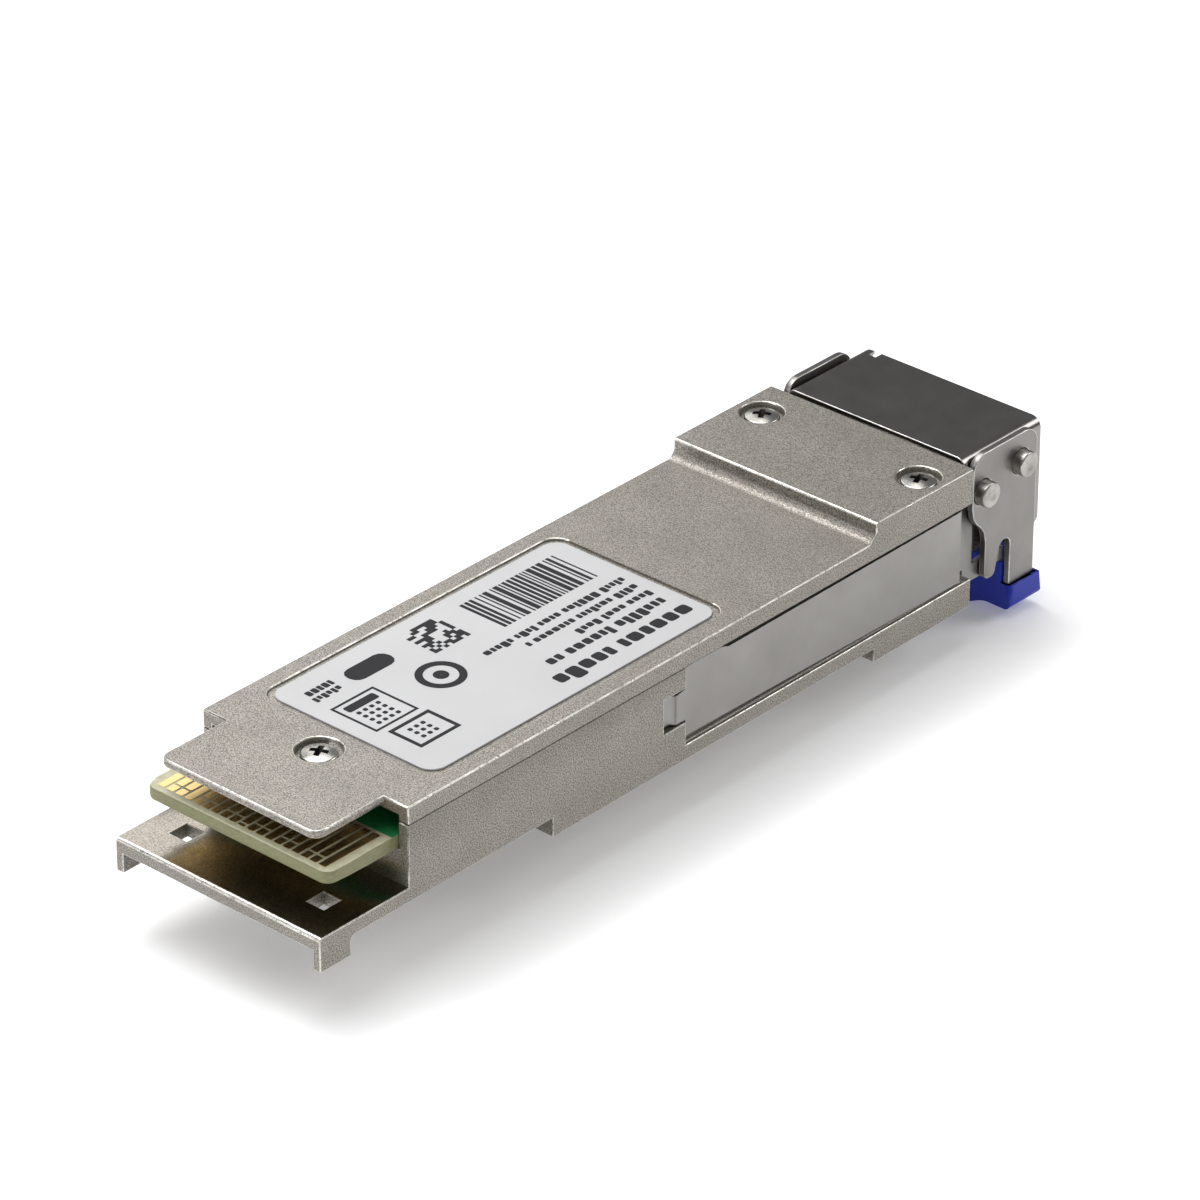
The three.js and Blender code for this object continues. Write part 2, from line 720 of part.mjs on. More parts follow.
// A split ceramic sleeve inside the barrel, which lines up the two ferrules.
function makeSleeve(name, x) {
  const at = [x, portAxisZ];
  const y = [noseStartY - sleeveLead, barrelTipY - sleeveSetback];
  const through = [y[0] - overcut, y[1] + overcut];
  const outer = rod("y", barrelBoreRadius - splitGap, y, at);
  const inner = rod("y", barrelBoreRadius - splitGap - sleeveWall, through, at);
  const slotX = [x - sleeveSlot / 2, x + sleeveSlot / 2];
  const slot = block(slotX, through, [portAxisZ, portAxisZ + barrelRadius]);
  return part(name, outer.subtract(inner).subtract(slot), zirconia);
}

// A flexible circuit that lies on the board and drops to the back of an optical subassembly.
function makeFlex(name, x) {
  const landZ = cardTopZ + splitGap / 2;
  const endZ = portAxisZ - flexThickness / 2;
  const rise = landZ - endZ;
  const startY = cardEndY - flexLand;
  const endY = opticsStartY - splitGap;
  const curve = (t) => (1 - Math.cos(Math.PI * t)) / 2;
  const bendStartY = cardEndY + flexThickness * 2;
  const steps = 8;
  const lower = [];
  for (let i = 0; i <= steps; i++) {
    const t = i / steps;
    lower.push([bendStartY + (endY - bendStartY) * t, landZ - rise * curve(t)]);
  }
  const upper = lower.map(([y, z], i) => [i === steps ? y : y + flexThickness, z + flexThickness]);
  const corners = [[startY, landZ], ...lower, ...upper.reverse(), [startY, landZ + flexThickness]];
  return part(name, carried(polygon(corners), [x - flexWidth / 2, x + flexWidth / 2]), flexFilm);
}

// A plate with two open slots that holds both barrels behind the receptacle.
function makeClamp() {
  const y = [clampStartY, clampStartY + clampThickness];
  const plate = block([-neckHalfWidth, neckHalfWidth], y, [opticsBottomZ, opticsTopZ + clampRise]);
  const through = [y[0] - overcut, y[1] + overcut];
  const reach = barrelRadius + splitGap;
  let clamp = plate;
  for (const x of [-portX, portX]) {
    clamp = clamp
      .subtract(rod("y", reach, through, [x, portAxisZ]))
      .subtract(block([x - reach, x + reach], through, [0, portAxisZ]));
  }
  return part("subassembly_clamp", clamp, sheetSteel);
}

// The duplex receptacle: a block with two ports, each with a channel above for the plug's latch.
function makeReceptacle() {
  const corner = shieldBendRadius - shieldSheet;
  const radii = [0, 0, corner, corner];
  const noseShape = roundedRectangle([-noseHalfWidth, noseHalfWidth], [noseBottomZ, noseTopZ], radii);
  const nose = drawn(noseShape, [noseStartY, noseEndY]);
  const neckY = [neckStartY, noseStartY + weld];
  const neck = block([-neckHalfWidth, neckHalfWidth], neckY, [noseBottomZ, neckTopZ]);
  let receptacle = nose.add(neck);
  const portHalf = portSize / 2;
  const y = [noseEndY - portDepth, noseEndY + overcut];
  const latchBottomZ = portAxisZ + portHalf;
  for (const x of [-portX, portX]) {
    const port = block([x - portHalf, x + portHalf], y, [portAxisZ - portHalf, portAxisZ + portHalf]);
    const channel = block(
      [x - portLatchWidth / 2, x + portLatchWidth / 2],
      [noseStartY + portLatchLead, noseEndY + overcut],
      [latchBottomZ - overcut, latchBottomZ + portLatchHeight],
    );
    const bore = rod("y", barrelRadius + splitGap, [neckStartY - overcut, noseEndY], [x, portAxisZ]);
    receptacle = receptacle.subtract(port).subtract(channel).subtract(bore);
  }
  return part("optical_receptacle", receptacle, castZinc);
}

// A conductive ring round the receptacle's neck, just inside the body's end.
function makeGasket() {
  const y = [sideBlockEndY + splitGap, bodyEndY - gasketSetback];
  const outerX = seatHalfWidth - splitGap;
  const outer = block([-outerX, outerX], y, [innerFloorZ + splitGap, raisedUndersideZ - splitGap]);
  const inner = block(
    [-neckHalfWidth - splitGap, neckHalfWidth + splitGap],
    [y[0] - overcut, y[1] + overcut],
    [noseBottomZ - splitGap, neckTopZ + splitGap],
  );
  return part("shield_gasket", outer.subtract(inner), gasketRubber);
}

// The shield seen from the side, with room at the rear for the slider and a cut lower front corner.
function shieldSide() {
  return polygon([
    [shieldStartY, splitZ + splitGap],
    [shieldCutEndY, splitZ + splitGap],
    [shieldCutEndY, shieldBottomZ],
    [shieldEndY - shieldChamfer, shieldBottomZ],
    [shieldEndY, shieldBottomZ + shieldChamfer],
    [shieldEndY, shieldTopZ],
    [shieldStartY, shieldTopZ],
  ]);
}

// A folded cover for the nose. Its front lip meets the right side and is notched at the left.
function makeShield() {
  const r = shieldBendRadius;
  const innerR = r - shieldSheet;
  const outer = roundedRectangle([-shieldOuterX, shieldOuterX], [shieldBottomZ, shieldTopZ], [0, 0, r, r]);
  const inner = roundedRectangle(
    [-shieldInnerX, shieldInnerX],
    [shieldBottomZ - overcut, shieldTopZ - shieldSheet],
    [0, 0, innerR, innerR],
  );
  const frontOfNose = noseEndY + shieldGap;
  const inside = drawn(inner, [shieldStartY - overcut, shieldEndY + overcut]);
  const fold = drawn(outer, [shieldStartY, shieldEndY]).subtract(inside);
  const lipStartX = r + shieldNotchWidth - shieldInnerX;
  const lipY = [frontOfNose, shieldEndY];
  const lipZ = [shieldTopZ - shieldLipHeight, shieldTopZ];
  const lip = drawn(outer, lipY).intersect(block([lipStartX, halfWidth], lipY, lipZ));
  const notch = block(
    [lipStartX - shieldNotchWidth, lipStartX],
    [shieldEndY - shieldNotchDepth, shieldEndY + overcut],
    [shieldTopZ - shieldLipHeight, shieldTopZ + overcut],
  );
  const body = fold.intersect(carried(shieldSide(), [-bodyWidth, bodyWidth])).add(lip).subtract(notch);
  return part("front_shield", body, polishedSteel);
}

// The arm seen from the side: round head, S-shaped rear edge, drive finger, slot and front leg.
function armOutline() {
  const shoulderZ = armTopZ - armShoulderDrop;
  const tipCentreZ = fingerTipZ + fingerTipRadius;
  const slotCentreY = fingerFrontY + slotRadius;
  const headY = [armRearY + armHeadRadius, armFrontY - armHeadRadius];
  const headZ = armTopZ - armHeadRadius;
  const tipRearY = fingerRearY + fingerTipRadius;
  const shape = new THREE.Shape();
  shape.moveTo(armRearY, shoulderZ);
  shape.bezierCurveTo(
    armRearY,
    shoulderZ - armCurvePull,
    fingerRearY,
    armWaistZ + armCurvePull,
    fingerRearY,
    armWaistZ,
  );
  shape.lineTo(fingerRearY, tipCentreZ);
  shape.absarc(tipRearY, tipCentreZ, fingerTipRadius, Math.PI, Math.PI * 1.5);
  shape.absarc(tipRearY + fingerTipFlat, tipCentreZ, fingerTipRadius, -Math.PI / 2, 0);
  shape.lineTo(fingerFrontY, slotCentreZ);
  shape.absarc(slotCentreY, slotCentreZ, slotRadius, Math.PI, 0, true);
  shape.lineTo(legRearY, legBottomZ);
  shape.lineTo(armFrontY, legBottomZ);
  shape.lineTo(armFrontY, headZ);
  shape.absarc(headY[1], headZ, armHeadRadius, 0, Math.PI / 2);
  shape.lineTo(headY[0], armTopZ);
  shape.absarc(headY[0], headZ, armHeadRadius, Math.PI / 2, Math.PI);
  return shape;
}

function makeArm(name, side) {
  const x = side > 0 ? [armInnerX, armOuterX] : [-armOuterX, -armInnerX];
  const through = [x[0] - overcut, x[1] + overcut];
  const holeRadius = studRadius + studClearance;
  const arm = carried(armOutline(), x)
    .subtract(rod("x", holeRadius, through, [pivotY, pivotZ]))
    .subtract(rod("x", holeRadius, through, [studY, studZ]));
  return part(name, arm, sheetSteel);
}

function makeStud(name, side, y, z) {
  const reach = [shieldOuterX + splitGap / 2, armOuterX + studProud];
  const x = side > 0 ? reach : [-reach[1], -reach[0]];
  return part(name, rod("x", studRadius, x, [y, z]), screwSteel);
}

// The grip seen from the front: a bar that dips in the middle between two shoes.
function gripOutline() {
  const outerX = armOuterX + gripSkin;
  const steps = 6;
  const ease = (t) => (1 - Math.cos(Math.PI * t)) / 2;
  const dip = [];
  for (let i = 0; i <= steps; i++) {
    const t = i / steps;
    dip.push([outerX - gripDipInset - gripDipRun * t, gripBottomZ - gripDip * ease(t)]);
  }
  const shape = new THREE.Shape();
  shape.moveTo(-outerX, gripBottomZ + gripCorner);
  shape.absarc(-outerX + gripCorner, gripBottomZ + gripCorner, gripCorner, Math.PI, Math.PI * 1.5);
  for (const [x, z] of dip) shape.lineTo(-x, z);
  for (const [x, z] of dip.reverse()) shape.lineTo(x, z);
  shape.absarc(outerX - gripCorner, gripBottomZ + gripCorner, gripCorner, -Math.PI / 2, 0);
  shape.lineTo(outerX, shoeTopZ);
  shape.lineTo(shieldOuterX, shoeTopZ);
  shape.lineTo(shieldOuterX, gripTopZ);
  shape.lineTo(-shieldOuterX, gripTopZ);
  shape.lineTo(-shieldOuterX, shoeTopZ);
  shape.lineTo(-outerX, shoeTopZ);
  return shape;
}

// The bar is moulded round the lower ends of both arms' front legs.
function makeGrip() {
  const pockets = blockPair(
    [armInnerX - splitGap, armOuterX + splitGap],
    [legRearY - splitGap, armFrontY + splitGap],
    [legBottomZ - splitGap, shoeTopZ + overcut],
  );
  const bar = drawn(gripOutline(), [legRearY - gripRearWall, armFrontY + gripFrontWall]);
  return part("bail_grip", bar.subtract(pockets), bluePlastic);
}

// A helix of round wire along y.
class SpringCurve extends THREE.Curve {
  constructor(x, z, radius, from, to, turns) {
    super();
    Object.assign(this, { x, z, radius, from, to, turns });
  }

  getPoint(t, target = new THREE.Vector3()) {
    const angle = 2 * Math.PI * this.turns * t;
    return target.set(
      this.x + this.radius * Math.cos(angle),
      this.from + (this.to - this.from) * t,
      this.z + this.radius * Math.sin(angle),
    );
  }
}

function makeSpring(name, side) {
  const wireRadius = springWire / 2;
  const curve = new SpringCurve(
    side * springX,
    springZ,
    springOuterRadius - wireRadius,
    springStartY + wireRadius,
    springEndY - wireRadius,
    springCoils,
  );
  const section = new THREE.Shape();
  section.absarc(0, 0, wireRadius, 0, 2 * Math.PI);
  const options = { steps: springCoils * 10, extrudePath: curve, curveSegments: 3, bevelEnabled: false };
  return part(name, solid(new THREE.ExtrudeGeometry(section, options)), springSteel);
}

const module = new THREE.Group();
module.name = "optical_transceiver_module";
module.position.set(0, -shieldEndY / 2, -lowestZ);
module.add(
  makeBase(),
  makeCover(),
  makeLabel(),
  makeBoard(),
  makeSlider(),
  makeShield(),
  makeReceptacle(),
  makeGasket(),
  makeClamp(),
  makeOptics("transmitter_subassembly", portX),
  makeOptics("receiver_subassembly", -portX),
  makeSleeve("transmitter_sleeve", portX),
  makeSleeve("receiver_sleeve", -portX),
  makeFlex("transmitter_flex", portX),
  makeFlex("receiver_flex", -portX),
  makeSpring("return_spring_left", -1),
  makeSpring("return_spring_right", 1),
  makeArm("bail_arm_left", -1),
  makeArm("bail_arm_right", 1),
  makeStud("pivot_pin_left", -1, pivotY, pivotZ),
  makeStud("pivot_pin_right", 1, pivotY, pivotZ),
  makeStud("bail_stud_left", -1, studY, studZ),
  makeStud("bail_stud_right", 1, studY, studZ),
  makeGrip(),
  makeDriverPad(),
  makeTransmitterPad(),
  ...screwPlaces().map(makeScrew),
  ...boardPackages().map(makeBoardPackage),
);

export default module;
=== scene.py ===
import math
import random
import bmesh
import bpy
from mathutils import Matrix, Vector


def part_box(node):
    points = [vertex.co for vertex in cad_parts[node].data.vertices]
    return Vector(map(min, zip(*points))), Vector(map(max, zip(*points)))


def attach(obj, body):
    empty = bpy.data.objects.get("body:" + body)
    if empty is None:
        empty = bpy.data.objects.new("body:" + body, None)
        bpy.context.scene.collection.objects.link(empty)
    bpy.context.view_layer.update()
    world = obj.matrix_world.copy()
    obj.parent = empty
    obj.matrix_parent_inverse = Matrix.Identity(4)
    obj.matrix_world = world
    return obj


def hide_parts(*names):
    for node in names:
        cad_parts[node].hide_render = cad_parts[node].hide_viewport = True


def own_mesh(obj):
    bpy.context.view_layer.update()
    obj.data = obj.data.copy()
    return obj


# optical transceiver module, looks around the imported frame
# shapes are worked out in millimetres, and storePiece brings them to metres

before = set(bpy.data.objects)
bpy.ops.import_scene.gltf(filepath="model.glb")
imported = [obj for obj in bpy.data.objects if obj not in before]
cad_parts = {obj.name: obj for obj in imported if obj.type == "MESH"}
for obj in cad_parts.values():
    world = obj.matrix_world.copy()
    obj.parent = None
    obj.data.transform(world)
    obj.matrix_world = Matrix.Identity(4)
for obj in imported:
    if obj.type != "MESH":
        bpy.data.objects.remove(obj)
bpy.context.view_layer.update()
print("frame loaded:", len(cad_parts), "nodes")

millimetre = 0.001
xAxis, yAxis, zAxis = Vector((1, 0, 0)), Vector((0, 1, 0)), Vector((0, 0, 1))


def nodeBox(node):
    low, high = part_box(node)
    return low / millimetre, high / millimetre


# camera first

cameraSet = {
    "azimuth": 41.903,  # degrees round from the card end
    "elevation": 29.759,
    "lens": 190.0,
    "sensor": 36.0,
    "distance": 424.71,
    "aim": (-0.257, 0.0, 12.1745),
}


def makeCamera(s):
    a, e = math.radians(s["azimuth"]), math.radians(s["elevation"])
    back = Vector((math.sin(a) * math.cos(e), -math.cos(a) * math.cos(e), math.sin(e)))
    data = bpy.data.cameras.new("benchCamera")
    data.lens = s["lens"]
    data.sensor_width = s["sensor"]
    data.clip_start = 0.02
    data.clip_end = 30
    camera = bpy.data.objects.new("benchCamera", data)
    camera.rotation_mode = "QUATERNION"
    camera.rotation_quaternion = (-back).to_track_quat("-Z", "Y")
    camera.location = (Vector(s["aim"]) + back * s["distance"]) * millimetre
    bpy.context.scene.collection.objects.link(camera)
    bpy.context.scene.camera = camera


makeCamera(cameraSet)


# light, world and floor, placed in metres

worldGrey = (0.20, 0.20, 0.205)

lightSet = [
    {"name": "overheadBox", "at": (-0.25, -0.15, 1.05), "aim": (0, 0, 0), "size": (1.1, 1.1), "watts": 9.4},
    {"name": "closeBox", "at": (-0.12, 0.10, 0.30), "aim": (0, -0.01, 0), "size": (0.16, 0.16),
     "watts": 0.20},
    {"name": "nearTopBox", "at": (-0.10, -0.02, 0.22), "aim": (0, -0.035, 0), "size": (0.10, 0.10),
     "watts": 0.14},
    {"name": "lowLeftBox", "at": (-0.105, 0.066, 0.088), "aim": (-0.008, -0.034, 0.008), "size": (0.06, 0.06),
     "watts": 0.022},
    {"name": "frontFill", "at": (-0.35, -0.90, 0.38), "aim": (0, 0, 0), "size": (0.6, 0.5), "watts": 2.1},
    {"name": "farRightBox", "at": (0.50, 0.65, 0.58), "aim": (0, 0, 0), "size": (0.45, 0.45), "watts": 2.6},
]

floorSet = {"half": 4.0, "colour": (0.90, 0.90, 0.90), "patches": 0.985, "roughness": 0.75, "glow": 0.22}


def makeLight(s):
    data = bpy.data.lights.new(s["name"], "AREA")
    data.shape = "RECTANGLE"
    data.size, data.size_y = s["size"]
    data.energy = s["watts"]
    light = bpy.data.objects.new(s["name"], data)
    light.location = s["at"]
    light.rotation_mode = "QUATERNION"
    light.rotation_quaternion = (Vector(s["aim"]) - Vector(s["at"])).to_track_quat("-Z", "Y")
    bpy.context.scene.collection.objects.link(light)


for s in lightSet:
    makeLight(s)

world = bpy.data.worlds.new("softRoom")
world.use_nodes = True
world.node_tree.nodes["Background"].inputs["Color"].default_value = (*worldGrey, 1)
world.node_tree.nodes["Background"].inputs["Strength"].default_value = 1.0
bpy.context.scene.world = world
bpy.context.scene.view_settings.view_transform = "Standard"


# node material helpers

class Finish:
    # a material with short calls for the nodes used over and over

    def __init__(self, name):
        self.material = bpy.data.materials.new(name)
        self.material.use_nodes = True
        self.nodes = self.material.node_tree.nodes
        self.links = self.material.node_tree.links
        self.shader = self.nodes["Principled BSDF"]
        self.coords = self.nodes.new("ShaderNodeTexCoord").outputs["Object"]

    def set(self, **values):
        for key, value in values.items():
            socket = self.shader.inputs[key.replace("_", " ")]
            socket.default_value = (*value, 1) if isinstance(value, tuple) and len(value) == 3 else value
        return self

    def plug(self, output, name):
        self.links.new(output, self.shader.inputs[name])

    def stretched(self, scale):
        node = self.nodes.new("ShaderNodeMapping")
        node.inputs["Scale"].default_value = scale
        self.links.new(self.coords, node.inputs["Vector"])
        return node.outputs["Vector"]

    def noise(self, scale, detail=3.0, roughness=0.55, coords=None):
        node = self.nodes.new("ShaderNodeTexNoise")
        node.inputs["Scale"].default_value = scale
        node.inputs["Detail"].default_value = detail
        node.inputs["Roughness"].default_value = roughness
        self.links.new(coords or self.coords, node.inputs["Vector"])
        return node.outputs["Fac"]

    def grains(self, scale):
        node = self.nodes.new("ShaderNodeTexVoronoi")
        node.inputs["Scale"].default_value = scale
        self.links.new(self.coords, node.inputs["Vector"])
        return node.outputs["Distance"]

    def spread(self, value, low, high, start=0.3, end=0.7):
        # maps start..end of a value to low..high
        node = self.nodes.new("ShaderNodeMapRange")
        node.inputs["From Min"].default_value = start
        node.inputs["From Max"].default_value = end
        node.inputs["To Min"].default_value = low
        node.inputs["To Max"].default_value = high
        self.links.new(value, node.inputs["Value"])
        return node.outputs["Result"]

    def blendOf(self, value, colourA, colourB):
        node = self.nodes.new("ShaderNodeMix")
        node.data_type = "RGBA"
        self.links.new(value, node.inputs["Factor"])
        for key, colour in (("A", colourA), ("B", colourB)):
            socket = [i for i in node.inputs if i.name == key and i.type == "RGBA"][0]
            if isinstance(colour, tuple):
                socket.default_value = (*colour, 1)
            else:
                self.links.new(colour, socket)
        return [o for o in node.outputs if o.type == "RGBA"][0]

    def bump(self, height, strength, distance, below=None):
        node = self.nodes.new("ShaderNodeBump")
        node.inputs["Strength"].default_value = strength
        node.inputs["Distance"].default_value = distance
        self.links.new(height, node.inputs["Height"])
        if below is not None:
            self.links.new(below, node.inputs["Normal"])
        return node.outputs["Normal"]


def fineness(size):
    # the scale of a noise or grain texture, from the size of its spots in millimetres
    return 1000 / size


def shaded(colour, factor):
    return tuple(min(1, c * factor) for c in colour)


def blastedCasting(name, light, dark, grainSize=0.10, roughness=(0.48, 0.60), glint=1.7, bumpDepth=0.012):
    # bead-blasted, nickel-plated zinc: even grey with small glinting grains
    f = Finish(name).set(Metallic=1.0)
    mottle = f.noise(fineness(3.5), 3)
    grain = f.noise(fineness(grainSize), 1, 0.5)
    pits = f.grains(fineness(grainSize * 2.2))
    even = f.blendOf(f.spread(mottle, 0, 1, 0.2, 0.8), dark, light)
    low = f.blendOf(f.spread(pits, 0.75, 0.25, 0.1, 0.6), shaded(dark, 0.45), even)
    high = f.blendOf(f.spread(mottle, 0.5, 0.7), even, shaded(light, glint))
    f.plug(f.blendOf(f.spread(grain, 0, 1, 0.36, 0.64), low, high), "Base Color")
    f.plug(f.spread(grain, roughness[1], roughness[0]), "Roughness")
    fine = f.bump(grain, 0.8, bumpDepth * millimetre)
    f.plug(f.bump(pits, 0.5, bumpDepth * millimetre, fine), "Normal")
    return f.material


def twoToneChippedMetal(name, bright, dull, chips=0.0, roughness=(0.22, 0.42)):
    # metal in patchy tones with small dark chips in it. On the rounded edges its bright tones are painted
    # highlight together with the wear where handling has rubbed the edge smooth, and in the screw's cross its
    # dark tones are painted shade
    f = Finish(name).set(Metallic=1.0)
    toneNoise = f.noise(fineness(1.3), 4, 0.6)
    nick = f.noise(fineness(0.22), 2, 0.6)
    twoTones = f.blendOf(f.spread(toneNoise, 0, 1, 0.35, 0.6), dull, bright)
    chipped = f.spread(nick, chips, 0, 0.36, 0.44)
    f.plug(f.blendOf(chipped, twoTones, shaded(dull, 0.45)), "Base Color")
    f.plug(f.spread(toneNoise, roughness[1], roughness[0]), "Roughness")
    f.plug(f.bump(nick, 0.5, 0.008 * millimetre), "Normal")
    return f.material


def rolledSheet(name, light, dark, roughness, grainAxis, scratch=0.0015):
    # cold-rolled stainless sheet with a faint grain along one axis
    f = Finish(name).set(Metallic=1.0)
    fine, long = fineness(0.05), fineness(6.0)
    scale = [fine, fine, fine]
    scale[grainAxis] = long
    lines = f.noise(1.0, 2, 0.6, f.stretched(tuple(scale)))
    cloud = f.noise(fineness(5.0), 3)
    smudge = f.noise(fineness(1.6), 4, 0.6)
    f.plug(f.blendOf(f.spread(cloud, 0, 1), dark, light), "Base Color")
    f.plug(f.spread(smudge, roughness[0], roughness[1]), "Roughness")
    f.plug(f.bump(lines, 0.35, scratch * millimetre), "Normal")
    return f.material


def mouldedPlastic(name, light, dark, roughness, texture=0.05, ior=1.49):
    f = Finish(name).set(Metallic=0.0, IOR=ior)
    cloud = f.noise(fineness(3.0), 3)
    skin = f.noise(fineness(texture), 2, 0.5)
    f.plug(f.blendOf(f.spread(cloud, 0, 1), dark, light), "Base Color")
    f.plug(f.spread(cloud, roughness[0], roughness[1]), "Roughness")
    f.plug(f.bump(skin, 0.3, 0.004 * millimetre), "Normal")
    return f.material


def labelStock(name):
    f = Finish(name).set(IOR=1.5)
    fibre = f.noise(fineness(0.25), 4, 0.6)
    cloud = f.noise(fineness(6.0), 2)
    f.plug(f.blendOf(f.spread(cloud, 0, 1), (0.475, 0.475, 0.48), (0.50, 0.50, 0.505)), "Base Color")
    f.plug(f.spread(fibre, 0.34, 0.46), "Roughness")
    f.plug(f.bump(fibre, 0.25, 0.003 * millimetre), "Normal")
    return f.material


def printInk(name):
    f = Finish(name).set(IOR=1.25)
    dots = f.noise(fineness(0.06), 2, 0.6)
    f.plug(f.blendOf(f.spread(dots, 0, 1), (0.012, 0.012, 0.014), (0.030, 0.030, 0.032)), "Base Color")
    f.plug(f.spread(dots, 0.55, 0.70), "Roughness")
    f.plug(f.bump(dots, 0.2, 0.002 * millimetre), "Normal")
    return f.material


def glassLaminate(name, light, dark):
    # resin and woven glass where the card is bare
    f = Finish(name).set(IOR=1.5)
    weave = f.noise(1.0, 2, 0.5, f.stretched((fineness(0.5), fineness(0.5), fineness(0.09))))
    cloud = f.noise(fineness(1.2), 3)
    inner = f.blendOf(f.spread(weave, 0, 1), dark, light)
    f.plug(f.blendOf(f.spread(cloud, 0.0, 0.35), inner, light), "Base Color")
    f.plug(f.spread(weave, 0.38, 0.55), "Roughness")
    f.plug(f.bump(weave, 0.3, 0.006 * millimetre), "Normal")
    return f.material


def solderMask(name):
    f = Finish(name).set(IOR=1.52, Coat_Weight=0.4, Coat_Roughness=0.25)
    cloud = f.noise(fineness(2.0), 3)
    weave = f.noise(fineness(0.3), 2)
    f.plug(f.blendOf(f.spread(cloud, 0, 1), (0.018, 0.20, 0.058), (0.028, 0.29, 0.085)), "Base Color")
    f.plug(f.spread(weave, 0.30, 0.42), "Roughness")
    f.plug(f.bump(weave, 0.25, 0.005 * millimetre), "Normal")
    return f.material


def platedGold(name, light=(0.80, 0.60, 0.28), dark=(0.62, 0.44, 0.17), roughness=(0.24, 0.36)):
    f = Finish(name).set(Metallic=1.0)
    wipe = f.noise(1.0, 3, 0.6, f.stretched((fineness(0.08), fineness(1.6), fineness(0.08))))
    f.plug(f.blendOf(f.spread(wipe, 0, 1), dark, light), "Base Color")
    f.plug(f.spread(wipe, roughness[0], roughness[1]), "Roughness")
    f.plug(f.bump(wipe, 0.3, 0.002 * millimetre), "Normal")
    return f.material


finishes = {
    "casting": blastedCasting("blastedZinc", (0.305, 0.284, 0.257), (0.256, 0.238, 0.215), grainSize=0.09),
    "castingSmooth": blastedCasting(
        "smoothZinc", (0.345, 0.314, 0.271), (0.295, 0.267, 0.228),
        grainSize=0.08, roughness=(0.13, 0.20), glint=1.1, bumpDepth=0.0025,
    ),
    # bright finish for the castings' rounded edges: painted highlight along the edges, with rubbed wear and
    # chips
    "castingEdgeWearAndHighlight": twoToneChippedMetal("rubbedZincEdgeAndHighlight", (0.74, 0.715, 0.67), (0.52, 0.495, 0.45), chips=0.8),
    "receptacle": blastedCasting(
        "receptacleCasting", (0.46, 0.44, 0.42), (0.36, 0.34, 0.32),
        grainSize=0.12, roughness=(0.36, 0.5), glint=1.2, bumpDepth=0.006,
    ),
    "sheet": rolledSheet(
        "satinSheet", (0.282, 0.273, 0.260), (0.250, 0.242, 0.229), (0.30, 0.42), grainAxis=1,
    ),
    # bright finish for the rounded edges of the shield and the bail arms: painted highlight along the edges,
    # with the burnished sheared edge
    "sheetEdgeWearAndHighlight": twoToneChippedMetal("shearedSheetEdgeAndHighlight", (0.66, 0.65, 0.63), (0.40, 0.39, 0.37)),
    "shield": rolledSheet(
        "polishedSheet", (0.29, 0.276, 0.264), (0.262, 0.249, 0.238), (0.20, 0.26), grainAxis=0,
    ),
    "arm": rolledSheet("armSheet", (0.254, 0.245, 0.232), (0.218, 0.210, 0.199), (0.30, 0.42), grainAxis=2),
    "plated": twoToneChippedMetal("platedSteel", (0.43, 0.414, 0.388), (0.32, 0.306, 0.284)),
    "screw": twoToneChippedMetal(
        "brightScrewPlating", (0.46, 0.445, 0.415), (0.34, 0.328, 0.302), roughness=(0.20, 0.32),
    ),
    # dark finish for the inside of the screw's cross: painted shade
    "crossShade": twoToneChippedMetal("crossPaintedShade", (0.14, 0.134, 0.122), (0.060, 0.057, 0.051), roughness=(0.30, 0.45)),
    "spring": rolledSheet("springWire", (0.50, 0.50, 0.49), (0.40, 0.40, 0.39), (0.25, 0.35), grainAxis=1),
    "label": labelStock("whiteLabelStock"),
    "ink": printInk("blackPrint"),
    "laminate": glassLaminate("cutLaminate", (0.27, 0.26, 0.14), (0.16, 0.165, 0.065)),
    "laminateTop": glassLaminate("bareLaminate", (0.54, 0.52, 0.38), (0.41, 0.40, 0.25)),
    "mask": solderMask("greenMask"),
    "gold": platedGold("contactGold"),
    "opticsGold": platedGold("packageGold", (0.74, 0.60, 0.36), (0.62, 0.48, 0.27), (0.30, 0.42)),
    "film": mouldedPlastic("amberFilm", (0.55, 0.27, 0.04), (0.40, 0.18, 0.025), (0.30, 0.40)),
    "chip": mouldedPlastic(
        "mouldedEpoxy", (0.030, 0.030, 0.033), (0.018, 0.018, 0.020), (0.45, 0.60), texture=0.08,
    ),
    "capacitor": mouldedPlastic("ceramicBody", (0.42, 0.27, 0.14), (0.34, 0.21, 0.10), (0.45, 0.60)),
    "ceramic": mouldedPlastic(
        "groundZirconia", (0.86, 0.84, 0.78), (0.80, 0.77, 0.70), (0.18, 0.28), texture=0.03,
    ),
    "gapPad": mouldedPlastic("gapFiller", (0.24, 0.31, 0.38), (0.18, 0.24, 0.30), (0.75, 0.90), texture=0.2),
    "gasket": mouldedPlastic(
        "gasketElastomer", (0.055, 0.055, 0.058), (0.035, 0.035, 0.037), (0.70, 0.88), texture=0.15,
    ),
    "blue": mouldedPlastic(
        "bluePolymer", (0.017, 0.038, 0.43), (0.012, 0.027, 0.34), (0.34, 0.46), texture=0.12, ior=1.36,
    ),
}
print("finishes made:", len(finishes))


